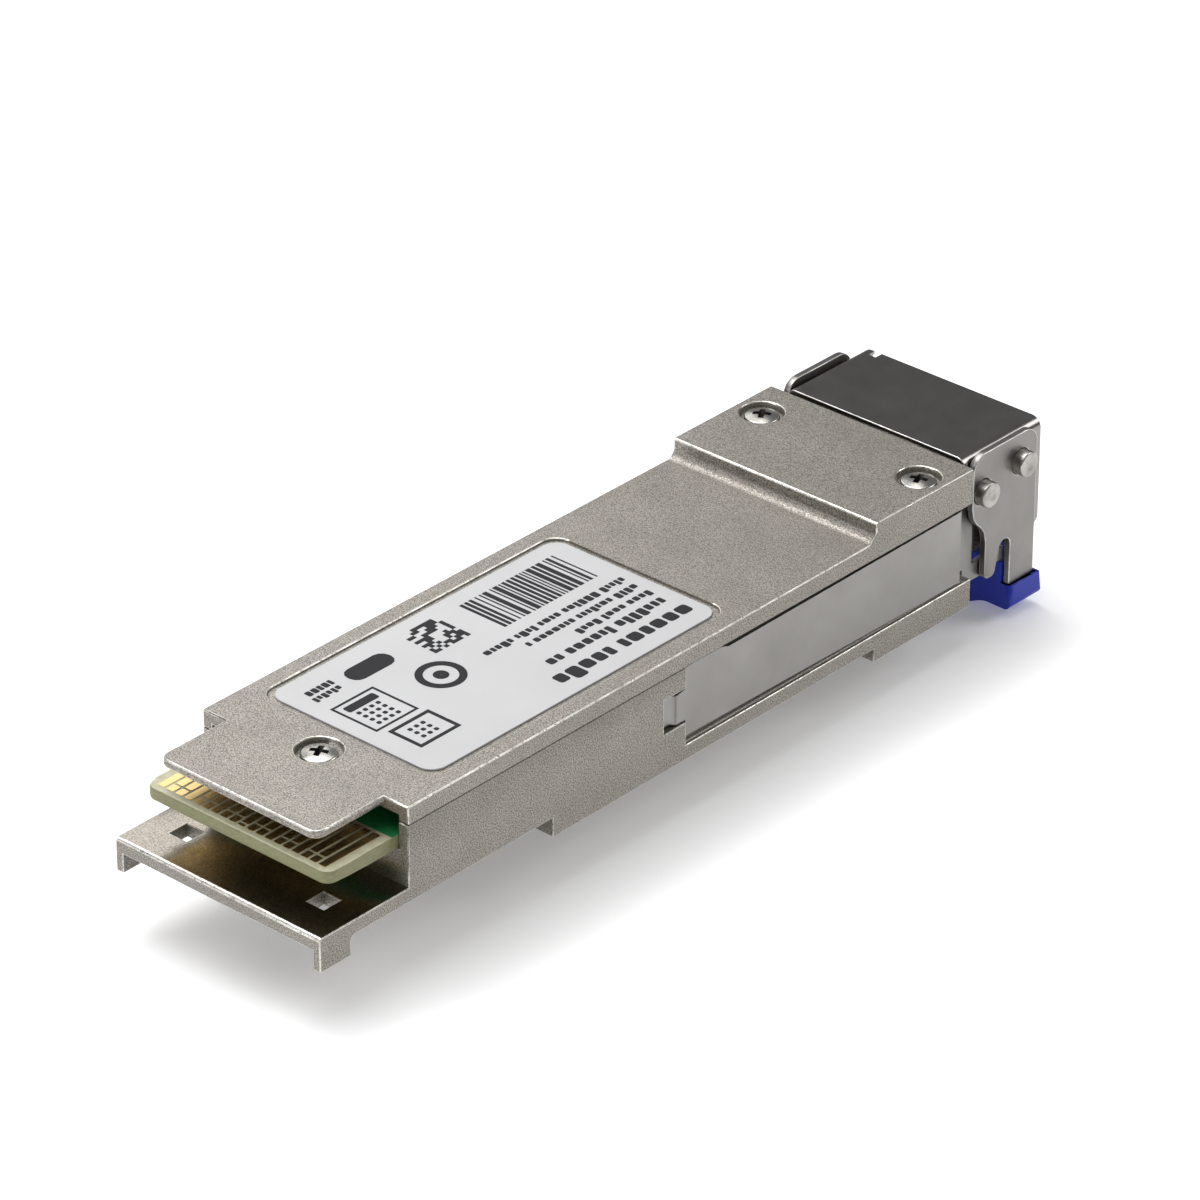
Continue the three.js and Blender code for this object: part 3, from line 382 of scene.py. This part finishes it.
def makeFloor(s):
    f = Finish("paleFloor")
    cloud = f.noise(3.0, 2)
    f.plug(f.blendOf(f.spread(cloud, 0, 1), shaded(s["colour"], s["patches"]), s["colour"]), "Base Color")
    f.set(Roughness=s["roughness"], Emission_Color=s["colour"], Emission_Strength=s["glow"])
    bm = bmesh.new()
    bmesh.ops.create_grid(bm, x_segments=8, y_segments=8, size=s["half"])
    mesh = bpy.data.meshes.new("floor")
    bm.to_mesh(mesh)
    bm.free()
    floor = bpy.data.objects.new("floor", mesh)
    floor.data.materials.append(f.material)
    bpy.context.scene.collection.objects.link(floor)


makeFloor(floorSet)


# mesh helpers

weldDistance = 0.0005  # millimetres
flatWithin = 0.6  # degrees between the triangles of one flat face
touch = 0.01  # millimetres, near enough to lie on a face
squareTurn = 80  # degrees at an edge that count as a square corner
cornerTurn = 50  # degrees that count as a corner of any kind


def copyNode(node):
    # a CAD node's shape with its loose triangles joined into flat faces
    bm = bmesh.new()
    bm.from_mesh(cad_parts[node].data)
    bmesh.ops.scale(bm, vec=(1 / millimetre,) * 3, verts=bm.verts)
    bmesh.ops.remove_doubles(bm, verts=bm.verts, dist=weldDistance)
    bmesh.ops.dissolve_limit(bm, angle_limit=math.radians(flatWithin), verts=bm.verts, edges=bm.edges)
    for face in bm.faces:
        face.material_index = 0
    return bm


def middleOf(edge):
    return (edge.verts[0].co + edge.verts[1].co) / 2


def isAlong(edge, axis):
    return abs((edge.verts[1].co - edge.verts[0].co).normalized().dot(axis)) > 0.999


def turnOf(edge):
    # degrees between the two faces, above zero on an outer corner
    return math.degrees(edge.calc_face_angle_signed(0))


def facesBoth(edge, a, b):
    # one of the edge's faces looks along a and the other along b
    first, second = (face.normal for face in edge.link_faces)
    return min(first.dot(a), second.dot(b)) > 0.99 or min(first.dot(b), second.dot(a)) > 0.99


def edgesWhere(bm, test):
    bm.normal_update()
    return [edge for edge in bm.edges if edge.is_manifold and test(edge)]


def roundEdges(bm, edges, width, segments=2, material=None):
    made = bmesh.ops.bevel(
        bm, geom=edges, offset=width, offset_type="OFFSET", segments=segments, profile=0.5,
        affect="EDGES", clamp_overlap=False, loop_slide=True, material=-1,
    )
    if material is not None:
        for face in made["faces"]:
            face.material_index = material


def cutAway(bm, cutter):
    # bm less cutter, through a Boolean modifier on two short-lived objects
    pair = []
    for source in (bm, cutter):
        mesh = bpy.data.meshes.new("cutWork")
        source.to_mesh(mesh)
        pair.append(bpy.data.objects.new("cutWork", mesh))
        bpy.context.scene.collection.objects.link(pair[-1])
        source.free()
    modifier = pair[0].modifiers.new("cut", "BOOLEAN")
    modifier.operation = "DIFFERENCE"
    modifier.solver = "EXACT"
    modifier.use_self = True
    modifier.object = pair[1]
    bpy.context.view_layer.update()
    solved = pair[0].evaluated_get(bpy.context.evaluated_depsgraph_get())
    result = bmesh.new()
    result.from_mesh(solved.to_mesh())
    for work in pair:
        mesh = work.data
        bpy.data.objects.remove(work)
        bpy.data.meshes.remove(mesh)
    return result


def addBlock(bm, low, high, cornerRadius=0.0, segments=4):
    # a closed block, with its upright edges rounded where a radius is given
    low, high = Vector(low), Vector(high)
    made = bmesh.ops.create_cube(bm, size=1)
    place = Matrix.Translation((low + high) / 2) @ Matrix.Diagonal((*(high - low), 1))
    bmesh.ops.transform(bm, matrix=place, verts=made["verts"])
    if cornerRadius > 0:
        edges = {edge for vert in made["verts"] for edge in vert.link_edges if isAlong(edge, zAxis)}
        roundEdges(bm, list(edges), cornerRadius, segments)


def turned(profile, steps=56):
    # a closed solid of revolution from (radius, height) points that start and end on the axis
    bm = bmesh.new()
    verts = [bm.verts.new((radius, 0, height)) for radius, height in profile]
    edges = [bm.edges.new(pair) for pair in zip(verts, verts[1:])]
    bmesh.ops.spin(
        bm, geom=verts + edges, cent=(0, 0, 0), axis=(0, 0, 1), angle=2 * math.pi, steps=steps,
        use_merge=True,
    )
    bmesh.ops.remove_doubles(bm, verts=bm.verts, dist=weldDistance)
    bmesh.ops.recalc_face_normals(bm, faces=bm.faces)
    return bm


def rimPoints(radius, height, rim, steps=4):
    # profile points of a rounded rim, from the side wall up onto the top
    points = []
    for i in range(1, steps + 1):
        a = math.pi / 2 * i / steps
        points.append((radius - rim + rim * math.cos(a), height + rim * math.sin(a)))
    return points


def storePiece(name, bm, body, materials, replaces=(), sharpAngle=48, weighted=True):
    # brings a finished shape to metres and puts it in the scene, on its body
    bmesh.ops.scale(bm, vec=(millimetre,) * 3, verts=bm.verts)
    mesh = bpy.data.meshes.new(name)
    bm.to_mesh(mesh)
    bm.free()
    for key in materials:
        mesh.materials.append(finishes[key])
    mesh.polygons.foreach_set("use_smooth", [True] * len(mesh.polygons))
    mesh.set_sharp_from_angle(angle=math.radians(sharpAngle))
    piece = bpy.data.objects.new(name, mesh)
    bpy.context.scene.collection.objects.link(piece)
    if weighted:
        modifier = piece.modifiers.new("flatFaces", "WEIGHTED_NORMAL")
        modifier.keep_sharp = True
        modifier.weight = 90
    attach(piece, body)
    if replaces:
        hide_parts(*replaces)
    return piece


# top cover

coverSet = {
    "footBlend": 0.75,  # hollow curve at the foot of the step
    "stepRound": 0.16,
    "edgeRound": 0.11,
    "shortest": 0.12,  # edges shorter than this stay sharp
    "skirtFoot": 1.0,  # the sides' lower edge above the cover's lowest face
    "partingGap": 0.05,  # added to the seam, so that it shows as a line
    "sharpFoot": 0.2,  # no rounding this far above the seam
}


def makeCover(s):
    bm = copyNode("top_cover")
    low, high = nodeBox("top_cover")
    width = high.x - low.x
    for vert in bm.verts:
        if abs(vert.co.x) > high.x - touch and abs(vert.co.z - low.z - s["skirtFoot"]) < touch:
            vert.co.z += s["partingGap"]
    foot = edgesWhere(bm, lambda e: isAlong(e, xAxis) and turnOf(e) < -squareTurn
                      and facesBoth(e, zAxis, -yAxis) and e.calc_length() > width / 2)
    roundEdges(bm, foot, s["footBlend"], 5)
    top = edgesWhere(bm, lambda e: isAlong(e, xAxis) and turnOf(e) > squareTurn
                     and facesBoth(e, zAxis, -yAxis) and middleOf(e).z > high.z - touch)
    # the step's top round and the other rounds below take the bright edge finish: painted highlight with
    # rubbed wear
    roundEdges(bm, top, s["stepRound"], 3, 1)
    sharpBelow = low.z + s["skirtFoot"] + s["sharpFoot"]
    rest = edgesWhere(bm, lambda e: turnOf(e) > cornerTurn and e.calc_length() > s["shortest"]
                      and not (isAlong(e, yAxis) and middleOf(e).z < sharpBelow))
    roundEdges(bm, rest, s["edgeRound"], 2, 1)
    storePiece("cover_casting", bm, "root", ["casting", "castingEdgeWearAndHighlight"], ["top_cover"])


makeCover(coverSet)


# base housing

baseSet = {
    "legFillet": 0.42,
    "legReach": 4.0,  # from the card end
    "endRound": 0.4,
    "edgeRound": 0.08,
    "shortest": 0.12,  # edges shorter than this stay sharp
    "plateRound": 0.26,
    "plateLength": 8.2,
    "plateTop": 3.7,  # above the housing's lowest face
    "seamHeight": 11.45,  # where the cover's sides meet the base
}


def makeBase(s):
    bm = copyNode("base_housing")
    low, high = nodeBox("base_housing")
    legs = edgesWhere(bm, lambda e: isAlong(e, xAxis) and turnOf(e) < -squareTurn
                      and facesBoth(e, -zAxis, yAxis) and middleOf(e).y < low.y + s["legReach"])
    roundEdges(bm, legs, s["legFillet"], 5)
    corner = edgesWhere(bm, lambda e: isAlong(e, xAxis) and turnOf(e) > squareTurn
                        and facesBoth(e, -zAxis, yAxis) and middleOf(e).y > high.y - touch)
    roundEdges(bm, corner, s["endRound"], 5)
    front = edgesWhere(bm, lambda e: turnOf(e) > squareTurn and facesBoth(e, zAxis, -yAxis)
                       and middleOf(e).y < low.y + touch)
    # the plate's front round and the other rounds below take the bright edge finish: painted highlight with
    # rubbed wear
    roundEdges(bm, front, s["plateRound"], 3, 1)
    seam = edgesWhere(bm, lambda e: turnOf(e) > cornerTurn and isAlong(e, yAxis)
                      and abs(middleOf(e).x) > high.x - touch
                      and abs(middleOf(e).z - s["seamHeight"]) < 2 * touch)
    rest = edgesWhere(bm, lambda e: turnOf(e) > cornerTurn and e.calc_length() > s["shortest"]
                      and e not in seam)
    roundEdges(bm, rest, s["edgeRound"], 2, 1)
    bm.normal_update()
    for face in bm.faces:
        middle = face.calc_center_median()
        onPlate = middle.y < low.y + s["plateLength"] and middle.z < low.z + s["plateTop"]
        if face.normal.z > 0.99 and onPlate:
            face.material_index = 2
    materials = ["casting", "castingEdgeWearAndHighlight", "castingSmooth"]
    storePiece("base_casting", bm, "root", materials, ["base_housing"])


makeBase(baseSet)
print("castings made")


# board and its contacts

boardSet = {
    "edgeChamfer": 0.22,
    "chamferReach": 1.0,  # from the card's front edge
    "chamferTurn": 60,  # degrees
    "maskStart": 5.85,  # from the card's front edge
    "pitch": 0.8,
    "count": 19,
    "padWidth": 0.60,
    "padCorner": 0.08,
    "padRise": 0.03,
    "padSink": 0.02,
    "padBack": 5.55,
    "padFront": 0.5,
    "leadEnd": {"signal": 1.2, "middle": 0.72},  # short lead-in pads in front of the long ones
    "leadGap": 0.18,
}


def makeBoard(s):
    bm = copyNode("main_board")
    low, high = nodeBox("main_board")
    front = edgesWhere(bm, lambda e: abs(turnOf(e)) > s["chamferTurn"]
                       and middleOf(e).y < low.y + s["chamferReach"]
                       and max(abs(f.normal.z) for f in e.link_faces) > 0.9)
    roundEdges(bm, front, s["edgeChamfer"], 2)
    border = low.y + s["maskStart"]
    bmesh.ops.bisect_plane(
        bm, geom=bm.verts[:] + bm.edges[:] + bm.faces[:], dist=1e-5,
        plane_co=(0, border, 0), plane_no=(0, 1, 0),
    )
    bm.normal_update()
    for face in bm.faces:
        if abs(face.normal.z) > 0.6:  # the flat faces and their chamfers
            face.material_index = 1 if face.calc_center_median().y > border else 2
    materials = ["laminate", "mask", "laminateTop"]
    storePiece("paddle_card", bm, "root", materials, ["main_board"])


def makeContacts(s):
    low, high = nodeBox("main_board")
    bm = bmesh.new()
    for level, way in ((high.z, 1), (low.z, -1)):
        for index in range(s["count"]):
            x = (index - (s["count"] - 1) / 2) * s["pitch"]
            isSignal = index % 3 > 0  # the rest are grounds, in one length but for the middle one
            runs = [(s["padFront"], s["padBack"])]
            if isSignal or index == s["count"] // 2:
                leadEnd = s["leadEnd"]["signal" if isSignal else "middle"]
                runs = [(s["padFront"], leadEnd), (leadEnd + s["leadGap"], s["padBack"])]
            for front, back in runs:
                z = sorted((level - way * s["padSink"], level + way * s["padRise"]))
                near = (x - s["padWidth"] / 2, low.y + front, z[0])
                far = (x + s["padWidth"] / 2, low.y + back, z[1])
                addBlock(bm, near, far, s["padCorner"], 2)
    storePiece("contact_pads", bm, "root", ["gold"])


makeBoard(boardSet)
makeContacts(boardSet)
print("card made")


# label and its plain print

labelSet = {
    "corner": 1.2,
    "rimRound": 0.03,
    "printRise": 0.012,
    "printSink": 0.004,
    "rows": [  # across from the right edge, height, start and end along the label
        (1.75, 1.45, 13.6, 27.0),
        (3.75, 1.00, 14.6, 26.6),
        (5.15, 0.72, 19.0, 26.8),
        (6.40, 0.72, 15.6, 26.8),
        (7.65, 0.72, 13.0, 26.9),
        (11.9, 0.62, 1.2, 3.9),
        (12.8, 0.62, 1.5, 4.0),
    ],
    "words": {"letters": (4, 7), "length": (0.42, 0.78), "heights": (0.72, 0.72, 1.0), "round": 0.25,
              "gap": 0.16, "wordGap": 0.55, "least": 0.5},  # in row heights
    "stripes": {"right": 11.3, "height": 4.2, "start": 16.8, "end": 26.2,
                "widths": (0.14, 0.14, 0.28, 0.42), "gaps": (0.16, 0.16, 0.3)},
    "cells": {"right": 12.1, "start": 11.2, "count": 10, "pitch": 0.34, "filled": 0.55},
    "ring": {"right": 8.1, "at": 9.4, "outer": 1.75, "inner": 1.2, "dot": 0.55, "pinhole": 0.02},
    "pill": {"right": 12.3, "height": 1.7, "start": 5.0, "end": 9.0},
    "frames": [  # across from the right edge, width, start and end along the label, line
        (8.3, 4.2, 1.3, 5.3, 0.2),
        (4.2, 3.0, 1.8, 5.6, 0.3),
    ],
    "inFrames": [(9.5, 0.75, 1.9, 4.7)],
    "dots": [(7.8, 3.3, 4), (4.2, 3.7, 3)],  # across, along, count each way
    "dotPitch": 0.6,
    "dotSize": 0.34,
}


def makeLabel(s):
    low, high = nodeBox("product_label")
    bm = bmesh.new()
    addBlock(bm, low, high, s["corner"], 10)
    rim = edgesWhere(bm, lambda e: turnOf(e) > cornerTurn and middleOf(e).z > high.z - 0.001)
    roundEdges(bm, rim, s["rimRound"], 2)
    storePiece("printed_label", bm, "root", ["label"], ["product_label"])


def addRing(bm, x, y, z, outer, inner, steps=48):
    # a flat ring spun from a small upright rectangle
    corners = [(inner, z[0]), (outer, z[0]), (outer, z[1]), (inner, z[1])]
    verts = [bm.verts.new((x + radius, y, height)) for radius, height in corners]
    edges = [bm.edges.new((verts[i], verts[(i + 1) % 4])) for i in range(4)]
    bmesh.ops.spin(
        bm, geom=verts + edges, cent=(x, y, 0), axis=(0, 0, 1), angle=2 * math.pi, steps=steps,
        use_merge=True,
    )


def makePrint(s):
    low, high = nodeBox("product_label")
    z = (high.z - s["printSink"], high.z + s["printRise"])
    pick = random.Random(7)
    bm = bmesh.new()

    def bar(right, height, start, end, roundness=0.0):
        # right and height go across the label, start and end along it
        x = high.x - right
        radius = min(height, end - start) * roundness
        addBlock(bm, (x - height / 2, low.y + start, z[0]), (x + height / 2, low.y + end, z[1]), radius, 3)

    words = s["words"]  # plain bars in place of lettering
    for right, height, start, end in s["rows"]:
        at, left = end, pick.randint(*words["letters"])
        while at > start + height * words["least"]:
            length = height * pick.uniform(*words["length"])
            tall = pick.choice(words["heights"])
            bar(right + height * (1 - tall) / 2, height * tall, at - length, at, words["round"])
            left -= 1
            at -= length + height * words["gap" if left else "wordGap"]
            left = left or pick.randint(*words["letters"])

    stripes = s["stripes"]
    at = stripes["start"]
    while at < stripes["end"]:
        thick = pick.choice(stripes["widths"])
        bar(stripes["right"], stripes["height"], at, at + thick)
        at += thick + pick.choice(stripes["gaps"])

    cells = s["cells"]
    pitch = cells["pitch"]
    for row in range(cells["count"]):
        for column in range(cells["count"]):
            if pick.random() < cells["filled"]:
                start = cells["start"] + row * pitch
                bar(cells["right"] + (column - cells["count"] / 2) * pitch, pitch, start, start + pitch)

    ring = s["ring"]
    x, y = high.x - ring["right"], low.y + ring["at"]
    addRing(bm, x, y, z, ring["outer"], ring["inner"])
    addRing(bm, x, y, z, ring["dot"], ring["pinhole"])
    bar(s["pill"]["right"], s["pill"]["height"], s["pill"]["start"], s["pill"]["end"], 0.45)
    for right, width, start, end, line in s["frames"]:
        bar(right - (width - line) / 2, line, start, end)
        bar(right + (width - line) / 2, line, start, end)
        bar(right, width - 2 * line, start, start + line)
        bar(right, width - 2 * line, end - line, end)
    for right, width, start, end in s["inFrames"]:
        bar(right, width, start, end, 0.2)
    pitch, size = s["dotPitch"], s["dotSize"]
    for right, along, count in s["dots"]:
        for row in range(count):
            for column in range(count):
                start = along + (row - count / 2) * pitch
                bar(right + (column - (count - 1) / 2) * pitch, size, start, start + size, 0.3)
    bmesh.ops.recalc_face_normals(bm, faces=bm.faces)
    storePiece("label_print", bm, "root", ["ink"], weighted=False)


makeLabel(labelSet)
makePrint(labelSet)
print("label made")


# screws

screwSet = {
    "headRadius": 1.27,
    "headDepth": 0.47,
    "shankRadius": 0.7,
    "tipRadius": 0.5,
    "tipLength": 0.25,
    "domeRise": 0.16,
    "rimRound": 0.14,
    "crossSpan": 1.7,
    "crossWidth": 0.52,
    "crossDepth": 0.75,
    "cutAbove": 0.3,  # the cutting cross stands this far clear of the head
    "floorBelow": 0.4,  # level faces deeper than this are the cross's floor
    "taper": 0.3,  # the cross's size at its floor
    "twist": (25, 37),  # degrees, and degrees more for each millimetre across
}


def makeScrew(node, s):
    low, high = nodeBox(node)
    x, y = (low.x + high.x) / 2, (low.y + high.y) / 2
    radius, rim, shank = s["headRadius"], s["rimRound"], s["shankRadius"]
    top, seat = high.z, high.z - s["headDepth"]
    rimFoot = top - rim - s["domeRise"]
    profile = [(0, low.z), (s["tipRadius"], low.z), (shank, low.z + s["tipLength"]), (shank, seat)]
    profile += [(radius, seat), (radius, rimFoot)] + rimPoints(radius, rimFoot, rim)
    for i in range(1, 6):
        t = i / 5
        profile.append(((radius - rim) * (1 - t), top - s["domeRise"] * (1 - t) ** 2))
    bm = turned(profile)
    cutter = bmesh.new()
    for turn in (0, math.pi / 2):
        made = bmesh.ops.create_cube(cutter, size=1)
        for vert in made["verts"]:
            narrow = s["taper"] if vert.co.z < 0 else 1.0
            vert.co.x *= s["crossSpan"] * narrow
            vert.co.y *= s["crossWidth"] * narrow
            vert.co.z = top + s["cutAbove"] if vert.co.z > 0 else top - s["crossDepth"]
        bmesh.ops.rotate(cutter, cent=(0, 0, 0), matrix=Matrix.Rotation(turn, 3, "Z"), verts=made["verts"])
    bm = cutAway(bm, cutter)
    twist = math.radians(s["twist"][0] + s["twist"][1] * x)
    bmesh.ops.rotate(bm, cent=(0, 0, 0), matrix=Matrix.Rotation(twist, 3, "Z"), verts=bm.verts)
    bmesh.ops.translate(bm, vec=(x, y, 0), verts=bm.verts)
    bm.normal_update()
    # the faces inside the cross take the dark finish: painted shade
    for face in bm.faces:
        middle = face.calc_center_median()
        inSpan = math.hypot(middle.x - x, middle.y - y) < s["crossSpan"] / 2
        inDepth = middle.z > top - s["crossDepth"] - touch
        inCross = face.normal.z < 0.8 or middle.z < top - s["floorBelow"]
        if inSpan and inDepth and inCross and face.normal.z > -0.5:
            face.material_index = 1
    name = node.replace("screw", "pan_screw")
    storePiece(name, bm, "root", ["screw", "crossShade"], [node], sharpAngle=35, weighted=False)


for node in ("cover_screw_near", "cover_screw_far_left", "cover_screw_far_right"):
    makeScrew(node, screwSet)


# slider, shield, receptacle

sheetSet = {
    "sliderRound": 0.05,
    "sliderDip": {"above": 11.0, "from": 2.2, "drop": 0.12},  # the strip's top edge, clear of the cover
    "sliderTip": {"until": -2.6, "above": 9.5, "drop": 0.16},  # the curled tip, slimmer than its window
    "shieldRound": 0.06,
    "receptacleRound": 0.08,
    "shortest": 0.1,  # edges shorter than this stay sharp
}


def roundAndStore(bm, node, name, body, materials, edgeRound):
    rest = edgesWhere(bm, lambda e: turnOf(e) > cornerTurn and e.calc_length() > sheetSet["shortest"])
    # the rounds take the last finish in the list; on the shield and the arms that is the bright edge finish,
    # a painted highlight
    roundEdges(bm, rest, edgeRound, 2, len(materials) - 1)
    storePiece(name, bm, body, materials, [node])


def makeSlider(s):
    bm = copyNode("latch_slider")
    dip, tip = s["sliderDip"], s["sliderTip"]
    for vert in bm.verts:
        if vert.co.z > dip["above"] and vert.co.y > dip["from"]:
            vert.co.z -= dip["drop"]
        elif vert.co.y < tip["until"] and vert.co.z > tip["above"]:
            vert.co.z -= tip["drop"]
    roundAndStore(bm, "latch_slider", "slider_strip", "slider", ["sheet"], s["sliderRound"])


def makeShield(s):
    node, slot, materials = "front_shield", "shield_steel", ["shield", "sheetEdgeWearAndHighlight"]
    roundAndStore(copyNode(node), node, "nose_shield", "root", materials, s["shieldRound"])


def makeReceptacle(s):
    node, slot, materials = "optical_receptacle", "receptacle_metal", ["receptacle"]
    roundAndStore(copyNode(node), node, "port_block", "root", materials, s["receptacleRound"])


makeSlider(sheetSet)
makeShield(sheetSet)
makeReceptacle(sheetSet)
print("sheet pieces made")


# bail: arms, studs and grip

bailSet = {
    "armRound": 0.06,
    "studRound": 0.12,
    "dimple": [(0.45, 0), (0.36, 0.05), (0, 0.06)],  # share of the stud's radius, and depth
    "gripFaceRound": 0.32,
    "gripFaceTurn": 60,  # degrees
    "gripEndRound": 0.45,
    "gripRound": 0.06,
    "gripShortest": 0.3,  # edges shorter than this stay sharp
    "shoeTop": 2.7,  # above the grip's lowest face
}


def makeArm(side, s):
    node, slot, materials = "bail_arm_" + side, "sheet_steel", ["arm", "sheetEdgeWearAndHighlight"]
    roundAndStore(copyNode(node), node, "bail_plate_" + side, "bail", materials, s["armRound"])


def makeStud(node, name, body, s):
    low, high = nodeBox(node)
    radius, length, rim = (high.y - low.y) / 2, high.x - low.x, s["studRound"]
    profile = [(0, 0), (radius, 0), (radius, length - rim)] + rimPoints(radius, length - rim, rim)
    profile += [(radius * share, length - depth) for share, depth in s["dimple"]]
    bm = turned(profile)
    outward = 1 if high.x > 0 else -1
    acrossModule = Matrix.Rotation(outward * math.pi / 2, 3, "Y")
    bmesh.ops.rotate(bm, cent=(0, 0, 0), matrix=acrossModule, verts=bm.verts)
    foot = low.x if outward > 0 else high.x
    bmesh.ops.translate(bm, vec=(foot, (low.y + high.y) / 2, (low.z + high.z) / 2), verts=bm.verts)
    storePiece(name, bm, body, ["plated"], [node], sharpAngle=40, weighted=False)


def makeGrip(s):
    bm = copyNode("bail_grip")
    low, high = nodeBox("bail_grip")
    shortest = s["gripShortest"]
    face = edgesWhere(bm, lambda e: turnOf(e) > s["gripFaceTurn"] and e.calc_length() > shortest
                      and middleOf(e).y > high.y - touch)
    roundEdges(bm, face, s["gripFaceRound"], 5)
    ends = edgesWhere(bm, lambda e: turnOf(e) > cornerTurn and e.calc_length() > shortest
                      and abs(middleOf(e).x) > high.x - touch and middleOf(e).z < low.z + s["shoeTop"])
    roundEdges(bm, ends, s["gripEndRound"], 4)
    rest = edgesWhere(bm, lambda e: turnOf(e) > cornerTurn and e.calc_length() > shortest)
    roundEdges(bm, rest, s["gripRound"], 2)
    storePiece("pull_grip", bm, "bail", ["blue"], ["bail_grip"])


for side in ("left", "right"):
    makeArm(side, bailSet)
for side in ("left", "right"):
    makeStud("pivot_pin_" + side, "pivot_rivet_" + side, "root", bailSet)
    makeStud("bail_stud_" + side, "hold_rivet_" + side, "bail", bailSet)
makeGrip(bailSet)
print("bail made")


# return springs: closed-end helices, carried on the slider

springSet = {"wire": 0.12, "coils": 9, "stepsPerCoil": 28, "section": 12, "stroke": 1.8}


def makeSpring(side, s):
    node = "return_spring_" + side
    low, high = nodeBox(node)
    radius = (high.x - low.x) / 2 - s["wire"]
    length = high.y - low.y - 2 * s["wire"]
    steps = s["coils"] * s["stepsPerCoil"]
    bm = bmesh.new()
    made = bmesh.ops.create_circle(bm, cap_ends=False, radius=s["wire"], segments=s["section"])
    bmesh.ops.rotate(bm, cent=(0, 0, 0), matrix=Matrix.Rotation(math.pi / 2, 3, "X"), verts=bm.verts)
    bmesh.ops.translate(bm, vec=(radius, 0, -length / 2), verts=bm.verts)
    bmesh.ops.spin(
        bm, geom=made["verts"] + bm.edges[:], cent=(0, 0, 0), axis=(0, 0, 1),
        angle=2 * math.pi * s["coils"], dvec=(0, 0, length / steps), steps=steps, use_merge=False,
    )
    bmesh.ops.holes_fill(bm, edges=[e for e in bm.edges if e.is_boundary], sides=0)
    bmesh.ops.recalc_face_normals(bm, faces=bm.faces)
    bmesh.ops.rotate(bm, cent=(0, 0, 0), matrix=Matrix.Rotation(-math.pi / 2, 3, "X"), verts=bm.verts)
    bmesh.ops.translate(bm, vec=(low + high) / 2, verts=bm.verts)
    piece = storePiece("helix_spring_" + side, bm, "slider", ["spring"], [node],
                       sharpAngle=40, weighted=False)
    drivenEnd = (low + high) / 2  # the end on the slider's tab
    drivenEnd.y = low.y
    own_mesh(piece)


for side in ("left", "right"):
    makeSpring(side, springSet)
print("springs made")


# inner pieces keep their CAD shape

innerFinishes = {
    "shield_gasket": "gasket",
    "subassembly_clamp": "sheet",
    "transmitter_subassembly": "opticsGold",
    "receiver_subassembly": "opticsGold",
    "transmitter_sleeve": "ceramic",
    "receiver_sleeve": "ceramic",
    "transmitter_flex": "film",
    "receiver_flex": "film",
    "laser_driver_chip": "chip",
    "receiver_chip": "chip",
    "microcontroller_chip": "chip",
    "power_chip": "chip",
    "power_inductor": "chip",
    "bulk_capacitor_left": "capacitor",
    "bulk_capacitor_right": "capacitor",
    "clock_crystal": "opticsGold",
    "driver_thermal_pad": "gapPad",
    "transmitter_thermal_pad": "gapPad",
}

for node, key in innerFinishes.items():
    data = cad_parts[node].data
    data.materials.clear()
    data.materials.append(finishes[key])
print("inner pieces finished:", len(innerFinishes))
